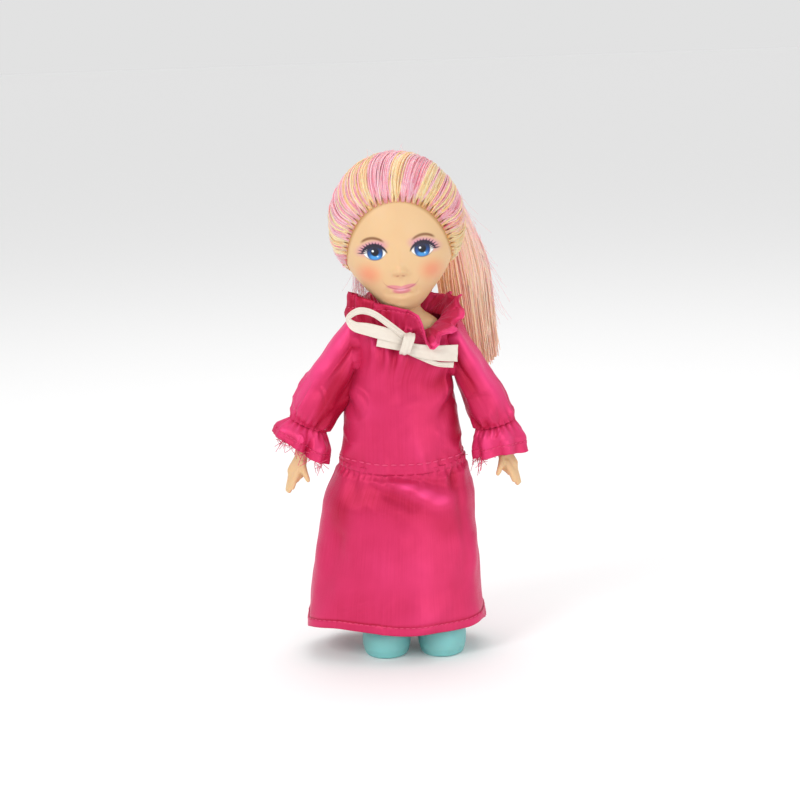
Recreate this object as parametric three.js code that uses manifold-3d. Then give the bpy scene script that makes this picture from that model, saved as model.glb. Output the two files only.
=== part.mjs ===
// A small child fashion doll in a long satin gown, 138 mm tall, standing on its shoes.
//
// Under the gown: a hollow hard-plastic torso in two welded halves, which trap the pegs of
// the vinyl arms, the pin of a nodding neck knob and the axle of the two legs. The hollow
// vinyl head snaps over the knob's flange and turns on its stem. Its rooted hair is pulled
// back into a tail, held by an elastic tie.
//
// The gown is cut from satin: bodice front, two back panels that close on a hook-and-loop
// strip, two sleeves with gathered cuffs, a ruffled collar and a long skirt. A ribbon bow is
// sewn on at the neck, and soft shoes are pulled over the feet.
//
// Millimetres, +Z up, the doll faces -Y, and its own left side is +X. The floor is z = 0.

import * as THREE from "three";
import { mergeVertices } from "three/addons/utils/BufferGeometryUtils.js";
import Module from "manifold-3d";

const wasm = await Module();
wasm.setup();

// Driving dimensions: fits and walls

const FIT = 0.3; // gap between pieces that touch or run in each other
const CLOTH = 0.8; // wall of the satin pieces
const TORSO_WALL = 1.3;
const HEAD_WALL = 2.0;

// Driving dimensions: places of the joints, measured from the neck's axis and the floor

const FIGURE_X = 1.8; // the doll's middle line, from the middle of the overall box
const FIGURE_Y = -1.2; // the neck's axis, from the middle of the overall box
const HIP_Z = 50; // the legs' length, from the floor to the axle
const HIP_TO_SHOULDER = 33;
const SHOULDER_TO_PIN = 9;
const SHOULDER_Z = HIP_Z + HIP_TO_SHOULDER;
const NECK_PIN_Z = SHOULDER_Z + SHOULDER_TO_PIN;
const LEG_X = 7.7;

// Driving dimensions: body

const NECK_R = 4.2;
const NECK_TOP = 1.8; // top of the neck above the pin
const NECK_PIN_R = 0.9;
const KNOB_RISE = 1.3; // room between the neck's top and the knob's disc, for the nod
const KNOB_DISC_DEEP = 1.5;
const KNOB_STEM_R = 2.3;
const KNOB_FLANGE_R = 4.1;
const KNOB_FLANGE_DEEP = 2.2;
const TONGUE_WIDE = 2.6;
const TONGUE_R = 2.2;
const TORSO_TOP = 4.4; // top of the shoulders above the pegs
const TORSO_LOW = 6.4; // lower end of the hollow body above the axle

const SHOULDER_SOCKET_X = 11.2; // outside of the torso at the shoulder
const PEG_R = 2.0;
const PEG_FLANGE_R = 3.4;
const SOCKET_LONG = 3; // depth of the boss that the peg runs in
const PEG_FLANGE_DEEP = 1.5;

const HIP_LUG_WIDE = 4.4;
const HIP_LUG_R = 3.8;
const HIP_AXLE_R = 1.4;
const HIP_AXLE_LONG = 17;
const THIGH_R = 5.2;
const ANKLE_R = 3.0;
const ANKLE_Z = 12;
const KNEE = 0.58; // share of the leg at which the knee and the calf stand
const CALF = 0.44;

// Driving dimensions: head and hair

const HEAD_WIDE = 31;
const HEAD_DEEP = 30.4;
const HEAD_HIGH = 36.4;
const HEAD_Y = -0.5; // middle of the skull, from the neck's axis
const HEAD_ROLL = -2.6; // degrees about Y that the head leans on its knob
const CHIN_NARROW = 0.2; // share of its width that the face loses at the chin
const NOSE_DROP = 8.4; // below the skull's middle
const NOSE_PROUD = 1.4;
const SKULL_POWER = 2.15; // 2 is an egg, more is squarer

const HAIR_WIDE = 37.2;
const HAIR_DEEP = 34.6;
const HAIR_HIGH = 38.6;
const HAIR_TOP = 4.6; // hair above the skull
const HAIR_BACK = 1.6; // the hair's middle, behind the skull's
const HAIRLINE_WIDE = 29.4; // the opening round the face
const HAIRLINE_TOP = 9.4; // top of that opening, above the skull's middle
const HAIRLINE_LOW = 26; // its lower end, below that middle and under the chin
const NAPE_SLOPE = 22; // degrees that the hair's lower edge drops towards the nape
const HAIRLINE_SIDE = 6.4; // lower end of the hair at the temples, below that middle
const TAIL_LONG = 50;
const TAIL_R = 6.2;
const TAIL_SWING = 5.6; // how far its end hangs outwards, and forwards
const TAIL_FORWARD = 3.6;
const TIE_R = 3.1; // the tail where the elastic draws it in
const TIE_BAND_R = 0.8;

// Driving dimensions: gown and shoes

const WAIST_RISE = 4; // waist seam above the hip axle
const WAIST_WIDE = 35.6;
const WAIST_DEEP = 25.2;
const CHEST_WIDE = 29.2;
const BODICE_DEEP = [24.4, 22.8, 20.8, 19.2]; // from above the waist to the shoulders
const NECK_SEAM_RISE = 10; // neck seam above the shoulder pegs
const NECK_SEAM_WIDE = 21.2;
const NECK_SEAM_DEEP = 17.2;
const NECK_SEAM_DIP = 3.6; // how far the neckline drops at the front
const COLLAR_WIDE = 29.6;
const COLLAR_DEEP = 21.6;
const COLLAR_HIGH = 5.2;
const ARMHOLE_R = 9.0;
const SLEEVE_R = 6.3;
const GATHER_R = 5.4;
const CUFF_LONG = 8.6;
const CUFF_R = 6.9;
const RIGHT_CUFF_R = 8.1; // the right cuff is spread wider
const HEM_Z = 8.6;
const HEM_WIDE = 48.6;
const HEM_DEEP = 37.4;
const HEM_SHIFT = -3.2; // the skirt hangs towards the doll's right
const CLOSURE_WIDE = 5;
const CLOSURE_LONG = 28;
const STRIP = 0.5; // thickness of each hook-and-loop strip
const RIBBON = 0.6; // thickness of the bow's ribbon

const SHOE_WIDE = 13.4;
const SHOE_LONG = 22;
const SHOE_HIGH = 12.2;
const SHOE_Y = -3.6;
const SHOE_WIDEST = 0.36; // share of its height at which a shoe is widest
const SOLE = 1.6;

const KNOT_RISE = 3; // the bow's knot above the shoulder pegs

// Derived places

const NECK_TOP_Z = NECK_PIN_Z + NECK_TOP;
const KNOB_DISC_Z = NECK_TOP_Z + KNOB_RISE;
const TORSO_LOW_Z = HIP_Z + TORSO_LOW;
const TORSO_TOP_Z = SHOULDER_Z + TORSO_TOP;
const WAIST_Z = HIP_Z + WAIST_RISE;
const NECK_SEAM_Z = SHOULDER_Z + NECK_SEAM_RISE;
const SEAM_X = CHEST_WIDE / 2 + FIT; // flat face of the armhole, where a sleeve starts
const HEAD_BOTTOM_Z = KNOB_DISC_Z + KNOB_DISC_DEEP + FIT;
const HEAD_Z = HEAD_BOTTOM_Z + HEAD_HIGH / 2;
const HAIR_Z = HEAD_BOTTOM_Z + HEAD_HIGH + HAIR_TOP - HAIR_HIGH / 2;
const HAIR_Y = HEAD_Y + HAIR_BACK;
const ROOM = 160; // side of a cutting box that reaches past all that it cuts
const TAU = 2 * Math.PI;

const vec = (x, y, z) => new THREE.Vector3(x, y, z);
const lerp = THREE.MathUtils.lerp;
const smooth = (t) => THREE.MathUtils.smoothstep(t, 0, 1);

// Shape tools

// Reverses a triangle list whose faces point inwards.
function facingOut(geometry) {
  const p = geometry.attributes.position;
  const index = geometry.index.array;
  const [a, b, c] = [vec(), vec(), vec()];
  let volume = 0;
  for (let i = 0; i < index.length; i += 3) {
    a.fromBufferAttribute(p, index[i]);
    b.fromBufferAttribute(p, index[i + 1]);
    c.fromBufferAttribute(p, index[i + 2]);
    volume += a.dot(b.cross(c));
  }
  if (volume < 0) {
    for (let i = 0; i < index.length; i += 3) {
      [index[i + 1], index[i + 2]] = [index[i + 2], index[i + 1]];
    }
  }
  return geometry;
}

// A closed solid through rings with the same number of points each. The two end rings are
// capped, or joined to each other when the rings run round a wall.
function throughRings(rings, joined = false) {
  const around = rings[0].length;
  const points = rings.flat();
  const triangles = [];
  const last = joined ? rings.length : rings.length - 1;
  for (let i = 0; i < last; i++) {
    const next = (i + 1) % rings.length;
    for (let j = 0; j < around; j++) {
      const k = (j + 1) % around;
      const [a, b] = [i * around + j, i * around + k];
      const [c, d] = [next * around + j, next * around + k];
      triangles.push(a, b, d, a, d, c);
    }
  }
  if (!joined) {
    for (const end of [0, rings.length - 1]) {
      const middle = rings[end].reduce((s, p) => s.add(p), vec(0, 0, 0)).divideScalar(around);
      points.push(middle);
      for (let j = 0; j < around; j++) {
        const [a, b] = [end * around + j, end * around + ((j + 1) % around)];
        triangles.push(...(end ? [a, b, points.length - 1] : [b, a, points.length - 1]));
      }
    }
  }
  const geometry = new THREE.BufferGeometry().setFromPoints(points);
  geometry.setIndex(triangles);
  return facingOut(geometry);
}

// The point of the surface place(angle, t) that lies a depth below it.
function sunk(place, angle, t, depth) {
  const step = 0.01;
  const round = place(angle + step, t).sub(place(angle - step, t));
  const up = place(angle, Math.min(1, t + step)).sub(place(angle, Math.max(0, t - step)));
  return place(angle, t).addScaledVector(round.cross(up).normalize(), -depth);
}

function surfaceRings(around, along, depth, place) {
  return Array.from({ length: along + 1 }, (_, i) =>
    Array.from({ length: around }, (_, j) => sunk(place, (TAU * j) / around, i / along, depth)),
  );
}

// A wall of even thickness below the surface place(angle, t).
function throughWall(around, along, thick, place) {
  const outer = surfaceRings(around, along, 0, place);
  const inner = surfaceRings(around, along, thick, place);
  return throughRings([...outer, ...inner.reverse()], true);
}

function solid(geometry) {
  const bare = geometry.clone();
  bare.deleteAttribute("normal");
  bare.deleteAttribute("uv");
  const merged = mergeVertices(bare, 1e-4);
  return new wasm.Manifold(
    new wasm.Mesh({
      numProp: 3,
      vertProperties: merged.attributes.position.array,
      triVerts: new Uint32Array(merged.index.array),
    }),
  );
}

// A solid's mesh, with corners that lie closer together than the grain made one.
const GRAIN = 0.002;

function shapeOf(manifold) {
  const mesh = manifold.getMesh();
  const places = Float32Array.from(mesh.vertProperties, (v) => Math.round(v / GRAIN) * GRAIN);
  const geometry = new THREE.BufferGeometry();
  geometry.setAttribute("position", new THREE.BufferAttribute(places, 3));
  geometry.setIndex(new THREE.BufferAttribute(mesh.triVerts, 1));
  const merged = mergeVertices(geometry, GRAIN / 10);
  const kept = [];
  for (let i = 0; i < merged.index.count; i += 3) {
    const [a, b, c] = merged.index.array.slice(i, i + 3);
    if (a !== b && b !== c && c !== a) {
      kept.push(a, b, c);
    }
  }
  return merged.setIndex(kept);
}

// The same solid turned or moved by a matrix, or with each of its points moved.
const placed = (manifold, matrix) => solid(shapeOf(manifold).applyMatrix4(matrix));

function bent(manifold, move) {
  const geometry = shapeOf(manifold);
  const position = geometry.attributes.position;
  for (let i = 0; i < position.count; i++) {
    const p = move(vec().fromBufferAttribute(position, i));
    position.setXYZ(i, p.x, p.y, p.z);
  }
  return solid(geometry);
}

const shifted = (x, y, z) => new THREE.Matrix4().makeTranslation(x, y, z);

const joined = (...solids) => solids.reduce((a, b) => a.add(b));
const without = (whole, ...tools) => tools.reduce((a, b) => a.subtract(b), whole);

function box(wide, deep, high, x = 0, y = 0, z = 0) {
  return solid(new THREE.BoxGeometry(wide, deep, high).translate(x, y, z));
}

// A cylinder along Z from z0 to z1, with a second radius at the top if it tapers.
function post(radius, z0, z1, x = 0, y = 0, topRadius = radius, sides = 20) {
  const shape = new THREE.CylinderGeometry(topRadius, radius, z1 - z0, sides);
  return solid(shape.rotateX(Math.PI / 2).translate(x, y, (z0 + z1) / 2));
}

// A cylinder along X from x0 to x1.
function rod(radius, x0, x1, y, z, sides = 16) {
  const shape = new THREE.CylinderGeometry(radius, radius, Math.abs(x1 - x0), sides);
  return solid(shape.rotateZ(Math.PI / 2).translate((x0 + x1) / 2, y, z));
}

// The same cylinder at both shoulders.
const shoulderPair = (radius, from, to, sides) =>
  joined(
    rod(radius, from, to, 0, SHOULDER_Z, sides),
    rod(radius, -from, -to, 0, SHOULDER_Z, sides),
  );

// One coordinate of a rounded-square outline: power 2 is a circle, more is squarer.
const rounded = (c, power) => Math.sign(c) * Math.abs(c) ** (2 / power);

function oval(wide, deep, z, around, power = 2, x = 0, y = 0) {
  return Array.from({ length: around }, (_, j) => {
    const angle = (TAU * j) / around;
    return vec(
      x + wide * rounded(Math.cos(angle), power),
      y + deep * rounded(Math.sin(angle), power),
      z,
    );
  });
}

// A curve through body sections, each given as half width, half depth and height.
const sections = (list) => new THREE.CatmullRomCurve3(list.map((s) => vec(...s)));

function throughSections(curve, steps, around, power, x = 0, grow = 0) {
  const rings = curve
    .getPoints(steps)
    .map((s) => oval(s.x + grow, s.y + grow, s.z, around, power, x));
  return solid(throughRings(rings));
}

// An egg-shaped solid with the given half sizes, whose outline is squarer with more power.
function egg(centre, half, power, around, rows) {
  const rings = [];
  for (let i = 1; i < rows; i++) {
    const tilt = (Math.PI * i) / rows;
    const ring = oval(
      half.x * rounded(Math.sin(tilt), power),
      half.y * rounded(Math.sin(tilt), power),
      centre.z - half.z * rounded(Math.cos(tilt), power),
      around,
      2,
      centre.x,
      centre.y,
    );
    rings.push(ring);
  }
  const points = rings.flat();
  const geometry = throughRings(rings);
  const position = geometry.attributes.position;
  position.setXYZ(points.length, centre.x, centre.y, centre.z - half.z);
  position.setXYZ(points.length + 1, centre.x, centre.y, centre.z + half.z);
  return geometry;
}

// A limb along a curve, with a radius at each of its points and a flatter section if asked.
function limb(points, radii, steps, around, flat = () => 1) {
  const curve = new THREE.CatmullRomCurve3(points);
  const sizes = new THREE.CatmullRomCurve3(radii.map((r, i) => vec(r, i, 0)));
  const rings = [];
  for (let i = 0; i <= steps; i++) {
    const t = i / steps;
    const centre = curve.getPoint(t);
    const along = curve.getTangent(t);
    const side = vec(0, 1, 0).cross(along).normalize();
    const front = along.clone().cross(side).normalize();
    const r = sizes.getPoint(t).x;
    rings.push(
      Array.from({ length: around }, (_, j) => {
        const angle = (TAU * j) / around;
        return centre
          .clone()
          .addScaledVector(side, r * Math.cos(angle))
          .addScaledVector(front, r * flat(t) * Math.sin(angle));
      }),
    );
  }
  return throughRings(rings);
}

// Torso: two hollow halves that meet at y = 0

const TORSO = sections([
  [SHOULDER_SOCKET_X + 0.2, 7.8, TORSO_LOW_Z],
  [SHOULDER_SOCKET_X - 1, 7.2, lerp(HIP_Z, SHOULDER_Z, 0.4)],
  [SHOULDER_SOCKET_X - 0.9, 7.2, lerp(HIP_Z, SHOULDER_Z, 0.6)],
  [SHOULDER_SOCKET_X - 0.2, 7.3, lerp(HIP_Z, SHOULDER_Z, 0.82)],
  [SHOULDER_SOCKET_X, 7.0, SHOULDER_Z],
  [SHOULDER_SOCKET_X - 1.4, 6.2, TORSO_TOP_Z],
  [NECK_R + 0.6, NECK_R + 0.6, TORSO_TOP_Z + 2],
]);

function torsoWhole() {
  const lugHigh = TORSO_LOW + TORSO_WALL + 0.5;
  const lug = joined(
    box(HIP_LUG_WIDE, 2 * HIP_LUG_R, lugHigh, 0, 0, HIP_Z + lugHigh / 2),
    rod(HIP_LUG_R, -HIP_LUG_WIDE / 2, HIP_LUG_WIDE / 2, 0, HIP_Z),
  );
  const skin = throughSections(TORSO, 8, 16, 2.3);
  const hollow = throughSections(TORSO, 6, 14, 2.3, 0, -TORSO_WALL);
  const hollowLow = TORSO_LOW_Z + TORSO_WALL;
  const hollowTop = TORSO_TOP_Z - TORSO_WALL;
  const hollowRoom = box(ROOM, ROOM, hollowTop - hollowLow, 0, 0, (hollowLow + hollowTop) / 2);
  const socketEnd = SHOULDER_SOCKET_X - SOCKET_LONG;
  const pegRoom = PEG_R + FIT;
  const bosses = shoulderPair(pegRoom + TORSO_WALL, socketEnd, SHOULDER_SOCKET_X + 4);
  const slotLow = NECK_PIN_Z - TONGUE_R - 2 * FIT;
  return without(
    joined(skin, lug, post(NECK_R, hollowTop + 0.9, NECK_TOP_Z)),
    hollow.intersect(hollowRoom).subtract(bosses),
    box(TONGUE_WIDE + 2 * FIT, ROOM, ROOM, 0, 0, slotLow + ROOM / 2),
    rod(NECK_PIN_R + FIT, -ROOM, ROOM, 0, NECK_PIN_Z),
    rod(HIP_AXLE_R + FIT, -ROOM, ROOM, 0, HIP_Z),
    shoulderPair(pegRoom, socketEnd - 1, SHOULDER_SOCKET_X + 4),
    shoulderPair(PEG_FLANGE_R + FIT, socketEnd - PEG_FLANGE_DEEP - 3 * FIT, socketEnd),
  );
}

const torso = torsoWhole();
const halfRoom = (side) => box(ROOM, ROOM, ROOM, 0, (side * (ROOM + FIT)) / 2, SHOULDER_Z);
const torsoFront = shapeOf(torso.intersect(halfRoom(-1)));
const torsoBack = shapeOf(torso.intersect(halfRoom(1)));

// Neck: the pin through the torso's ears, and the knob that nods on it

const neckPin = shapeOf(rod(NECK_PIN_R, -NECK_R + FIT, NECK_R - FIT, 0, NECK_PIN_Z));

function neckKnob() {
  const discTop = KNOB_DISC_Z + KNOB_DISC_DEEP;
  const tongueHigh = KNOB_DISC_Z + 0.5 - NECK_PIN_Z;
  const flangeLow = HEAD_BOTTOM_Z + HEAD_WALL + 4 * FIT;
  return shapeOf(
    without(
      joined(
        rod(TONGUE_R, -TONGUE_WIDE / 2, TONGUE_WIDE / 2, 0, NECK_PIN_Z),
        box(TONGUE_WIDE, 2 * TONGUE_R, tongueHigh, 0, 0, NECK_PIN_Z + tongueHigh / 2),
        post(NECK_R - 0.2, KNOB_DISC_Z, discTop),
        post(KNOB_STEM_R, KNOB_DISC_Z + 1, flangeLow + 1),
        post(KNOB_FLANGE_R, flangeLow, flangeLow + KNOB_FLANGE_DEEP, 0, 0, KNOB_STEM_R),
      ),
      rod(NECK_PIN_R + FIT, -ROOM, ROOM, 0, NECK_PIN_Z),
    ),
  );
}

// Head: a hollow vinyl shell with its neck hole, a little leaned on the knob

const LEAN = shifted(0, 0, HEAD_BOTTOM_Z)
  .multiply(new THREE.Matrix4().makeRotationY(THREE.MathUtils.degToRad(HEAD_ROLL)))
  .multiply(shifted(0, 0, -HEAD_BOTTOM_Z));
const lean = (manifold) => placed(manifold, LEAN);

function skull(grow, around, rows) {
  const half = vec(HEAD_WIDE / 2 + grow, HEAD_DEEP / 2 + grow, HEAD_HIGH / 2 + grow);
  const round = solid(egg(vec(0, HEAD_Y, HEAD_Z), half, SKULL_POWER, around, rows));
  return bent(round, (p) => {
    const below = Math.max(0, (HEAD_Z - p.z) / (HEAD_HIGH / 2));
    return p.setX(p.x * (1 - CHIN_NARROW * below ** 2));
  });
}

function headShell() {
  const below = NOSE_DROP / (HEAD_HIGH / 2);
  const faceY = HEAD_Y - (HEAD_DEEP / 2) * (1 - below ** SKULL_POWER) ** (1 / SKULL_POWER);
  const nose = solid(egg(vec(0, faceY, HEAD_Z - NOSE_DROP), vec(1.7, NOSE_PROUD, 2), 2, 10, 6));
  const flesh = lean(joined(skull(0, 24, 14), nose));
  const hollow = lean(skull(-HEAD_WALL, 14, 8));
  return flesh.subtract(hollow).subtract(post(KNOB_STEM_R + FIT, NECK_PIN_Z, HEAD_Z));
}

// Hair: the rooted cap swept back from the hairline, the elastic tie and the tail

const hairHalf = vec(HAIR_WIDE / 2, HAIR_DEEP / 2, HAIR_HIGH / 2);

function hairShape(grow) {
  const half = hairHalf.clone().addScalar(grow);
  return lean(solid(egg(vec(0, HAIR_Y, HAIR_Z), half, 2.05, 24, 14)));
}

function hairCap() {
  const faceHigh = HAIRLINE_TOP + HAIRLINE_LOW;
  const faceOutline = oval(HAIRLINE_WIDE / 2, faceHigh / 2, 0, 28, 2.2);
  const front = throughRings([0, 40].map((y) => faceOutline.map((p) => vec(p.x, y, p.y))));
  const faceWindow = solid(front.translate(0, -45, HEAD_Z + HAIRLINE_TOP - faceHigh / 2));
  const nape = new THREE.BoxGeometry(ROOM, ROOM, ROOM).translate(0, 0, -ROOM / 2);
  nape.rotateX(THREE.MathUtils.degToRad(-NAPE_SLOPE));
  const napeRoom = solid(nape.translate(0, -7, HEAD_Z - HAIRLINE_SIDE));
  return hairShape(0)
    .subtract(lean(skull(FIT, 24, 14)))
    .subtract(lean(faceWindow))
    .subtract(lean(napeRoom));
}

// Where the tail leaves the cap, and the cap's outward direction there.
const TAIL_ROOT_TURN = 50; // degrees round the cap, from the doll's left towards its back
const TAIL_ROOT_RISE = 25; // degrees above the cap's middle
const turn = THREE.MathUtils.degToRad(TAIL_ROOT_TURN);
const rise = THREE.MathUtils.degToRad(TAIL_ROOT_RISE);
const tailRoot = vec(
  hairHalf.x * Math.cos(turn) * Math.cos(rise),
  HAIR_Y + hairHalf.y * Math.sin(turn) * Math.cos(rise),
  HAIR_Z + hairHalf.z * Math.sin(rise),
);
const tailOut = tailRoot
  .clone()
  .sub(vec(0, HAIR_Y, HAIR_Z))
  .divide(hairHalf)
  .divide(hairHalf)
  .normalize();
const TIE_AT = 2.2; // along the tail from the cap

// The tail hangs in level sections from a rounded top, out and a little forward.
function tailSection(share) {
  const top = tailRoot.clone().addScaledVector(tailOut, TAIL_R + 1.2);
  const out = vec(TAIL_SWING * smooth(share * 1.6), -TAIL_FORWARD * share, 0);
  const profile = [1.2, TAIL_R - 1.4, TAIL_R - 0.2, TAIL_R, TAIL_R - 1.2, 1.6];
  const radius = new THREE.CatmullRomCurve3(profile.map((r, i) => vec(r, i, 0))).getPoint(share).x;
  const z = top.z + TIE_R - (TAIL_LONG + TIE_R) * share;
  return oval(radius, radius * 0.78, z, 14, 2, top.x + out.x, top.y + out.y);
}

function ponytail() {
  const stubEnds = [-2, TIE_AT + 3].map((d) => tailRoot.clone().addScaledVector(tailOut, d));
  const stub = solid(limb(stubEnds, [TIE_R, TIE_R], 2, 14));
  const rings = Array.from({ length: 13 }, (_, i) => tailSection((i / 12) ** 1.2));
  const tail = joined(stub, solid(throughRings(rings)));
  const high = TIE_BAND_R + FIT;
  const waist = post(TIE_R - TIE_BAND_R / 2 - FIT, -high, high);
  const groove = post(TIE_R + 1.5 * TIE_BAND_R + FIT, -high, high).subtract(waist);
  return tail.subtract(hairShape(FIT)).subtract(placed(groove, tiePlace()));
}

// The tie lies square to the tail.
function tiePlace() {
  const facing = new THREE.Quaternion().setFromUnitVectors(vec(0, 0, 1), tailOut);
  const place = tailRoot.clone().addScaledVector(tailOut, TIE_AT);
  return new THREE.Matrix4().compose(place, facing, vec(1, 1, 1));
}

function hairTie() {
  const ring = new THREE.TorusGeometry(TIE_R + TIE_BAND_R / 2, TIE_BAND_R, 6, 16);
  return ring.applyMatrix4(tiePlace());
}

// Arms: vinyl, with the peg and flange that the torso's halves trap. Side is 1 for the left.

// A place on the left arm: out from the armhole's seam, forwards, and below the peg.
const onArm = (out, forward, drop) => vec(SEAM_X + out, -forward, SHOULDER_Z - drop);

const WRIST = onArm(11.3, 1.8, 27);
const PALM = onArm(12.6, 2.2, 32);
const FINGERS = onArm(14.5, 2.8, 37.6);
const THUMB_TIP = onArm(9.7, 4.2, 34.4);
const RIGHT_REACH = 3.2; // the right hand is held this much further out

// A point of the left arm's side, moved across for the right arm.
function sided(p, side) {
  const reach = side < 0 ? RIGHT_REACH * smooth((SHOULDER_Z - p.z) / 30) : 0;
  return vec(side * (p.x + reach), p.y, p.z);
}

const armRootX = SHOULDER_SOCKET_X + 1;

function armLine(side) {
  return [
    vec(armRootX, 0, SHOULDER_Z),
    vec(armRootX + 1.8, 0, SHOULDER_Z),
    onArm(2.4, 0.1, 3.6),
    onArm(5.6, 0.5, 10.2),
    onArm(8.3, 0.9, 17.6),
    WRIST,
    PALM,
    FINGERS,
  ].map((p) => sided(p, side));
}

const ARM_RADII = [3.5, 3.4, 3.3, 3.1, 2.8, 2.1, 2.5, 1.1];

function armSkin(side, grow) {
  const radii = ARM_RADII.map((r) => r + grow);
  const flat = (t) => 1 - 0.38 * smooth((t - 0.7) / 0.2);
  return solid(limb(armLine(side), radii, 12, 10, flat));
}

function arm(side) {
  const thumbRoot = sided(PALM.clone().lerp(WRIST, 0.3), side);
  const thumb = limb([thumbRoot, sided(THUMB_TIP, side)], [1.1, 0.8], 3, 8);
  const inside = SHOULDER_SOCKET_X - SOCKET_LONG - FIT;
  const peg = joined(
    rod(PEG_R, side * (inside - 0.4), side * (armRootX + 1), 0, SHOULDER_Z),
    rod(PEG_FLANGE_R, side * (inside - PEG_FLANGE_DEEP), side * inside, 0, SHOULDER_Z),
  );
  return shapeOf(joined(armSkin(side, 0), solid(thumb), peg));
}

// Legs: vinyl, bored for the hip axle, with the foot that fills the shoe

const LEG = sections([
  [2.2, 2.2, HIP_Z + THIGH_R - 0.3],
  [4.4, 4.5, HIP_Z + 3],
  [THIGH_R, THIGH_R, HIP_Z],
  [THIGH_R - 0.3, THIGH_R - 0.3, HIP_Z * 0.8],
  [ANKLE_R + 0.9, ANKLE_R + 1.1, HIP_Z * KNEE],
  [ANKLE_R + 0.9, ANKLE_R + 1.3, HIP_Z * CALF],
  [ANKLE_R, ANKLE_R, ANKLE_Z],
  [ANKLE_R, ANKLE_R, SOLE + 2.4],
]);

function legSkin(side, grow) {
  const calf = throughSections(LEG, 10, 14, 2, side * LEG_X, grow);
  const middle = vec(side * LEG_X, SHOE_Y + 0.3, SOLE + 2.6);
  const half = vec(SHOE_WIDE / 2 - 2.2 + grow, SHOE_LONG / 2 - 2.6 + grow, 4.2 + grow);
  const foot = solid(egg(middle, half, 2.2, 14, 7));
  const room = box(ROOM, ROOM, ROOM, 0, 0, SOLE - grow + FIT + ROOM / 2);
  return joined(calf, foot).intersect(room);
}

function leg(side) {
  const axleRoom = rod(HIP_AXLE_R + FIT, 0, side * (HIP_AXLE_LONG / 2 + FIT), 0, HIP_Z);
  return shapeOf(legSkin(side, 0).subtract(axleRoom));
}

const hipAxle = shapeOf(rod(HIP_AXLE_R, -HIP_AXLE_LONG / 2, HIP_AXLE_LONG / 2, 0, HIP_Z));

// Shoes: rounded slip-ons with a flat sole, hollowed by the foot

function shoe(side) {
  const middle = vec(side * LEG_X, SHOE_Y, SHOE_HIGH * SHOE_WIDEST);
  const half = vec(SHOE_WIDE / 2, SHOE_LONG / 2, SHOE_HIGH * (1 - SHOE_WIDEST));
  const body = solid(egg(middle, half, 2.35, 18, 9));
  const aboveFloor = box(ROOM, ROOM, ROOM, 0, 0, ROOM / 2);
  return shapeOf(body.intersect(aboveFloor).subtract(legSkin(side, FIT)));
}

// Gown: the bodice and the seams that its neighbours share

const frontness = (angle) => Math.max(0, -Math.sin(angle)) ** 1.5;

// A point on an oval of the given overall size.
function onOval(angle, wide, deep, z, power = 2.3) {
  return vec(
    (wide / 2) * rounded(Math.cos(angle), power),
    (deep / 2) * rounded(Math.sin(angle), power),
    z,
  );
}

function neckSeam(angle) {
  const z = NECK_SEAM_Z - NECK_SEAM_DIP * frontness(angle);
  const p = onOval(angle, NECK_SEAM_WIDE, NECK_SEAM_DEEP, z, 2);
  p.y -= 1.2 * frontness(angle);
  return p;
}

const armpitZ = SHOULDER_Z - ARMHOLE_R;

function bodicePoint(angle, t) {
  const run = new THREE.CatmullRomCurve3([
    onOval(angle, WAIST_WIDE, WAIST_DEEP, WAIST_Z, 2.1),
    onOval(angle, lerp(WAIST_WIDE, CHEST_WIDE, 0.5), BODICE_DEEP[0], lerp(WAIST_Z, armpitZ, 0.5)),
    onOval(angle, CHEST_WIDE + 0.3, BODICE_DEEP[1], armpitZ, 2.5),
    onOval(angle, CHEST_WIDE, BODICE_DEEP[2], SHOULDER_Z, 2.8),
    onOval(angle, CHEST_WIDE - 0.6, BODICE_DEEP[3], SHOULDER_Z + 0.6 * NECK_SEAM_RISE, 2.8),
    neckSeam(angle),
  ]);
  return run.getPoint(t);
}

// The shell, with a short tube at each side that reaches out to the sleeve's seam.
function bodiceWhole() {
  const around = 30;
  const along = 6;
  const cloth = solid(throughWall(around, along, CLOTH, bodicePoint));
  const filled = solid(throughRings(surfaceRings(around, along, CLOTH / 2, bodicePoint)));
  const tubes = shoulderPair(ARMHOLE_R, CHEST_WIDE / 4, CHEST_WIDE / 2 + 1, 24).subtract(filled);
  const armRoom = shoulderPair(ARMHOLE_R - CLOTH, CHEST_WIDE / 4, CHEST_WIDE, 24);
  const outside = (side) =>
    box(ROOM, ROOM, ROOM, (side * (CHEST_WIDE + ROOM)) / 2, 0, armpitZ + ROOM / 2);
  return without(joined(cloth, tubes), armRoom, outside(1), outside(-1));
}

const bodice = bodiceWhole();
const backX = (ROOM + FIT) / 2;
const backRoom = (side) => box(ROOM, ROOM, ROOM, side * backX, backX, SHOULDER_Z);
const bodiceFront = shapeOf(bodice.intersect(halfRoom(-1)));
const bodiceBackLeft = shapeOf(bodice.intersect(backRoom(1)));
const bodiceBackRight = shapeOf(bodice.intersect(backRoom(-1)));

// The closure's two strips lie one on the other inside the back opening.
function closureStrip(layer) {
  const sink = CLOTH + FIT + layer * (STRIP + FIT);
  const middle = WAIST_Z + 2 + CLOSURE_LONG / 2;
  const room = box(CLOSURE_WIDE, ROOM, CLOSURE_LONG, 0, ROOM / 2, middle);
  const outer = (angle, t) => {
    const p = bodicePoint(angle, t);
    return p.setY(p.y - sink);
  };
  const band = solid(throughWall(30, 6, STRIP, outer));
  return shapeOf(band.intersect(room));
}

// Collar: a ruffle sewn to the neck seam, standing at the sides and falling open in front

const RUFFLES = 9;

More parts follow.
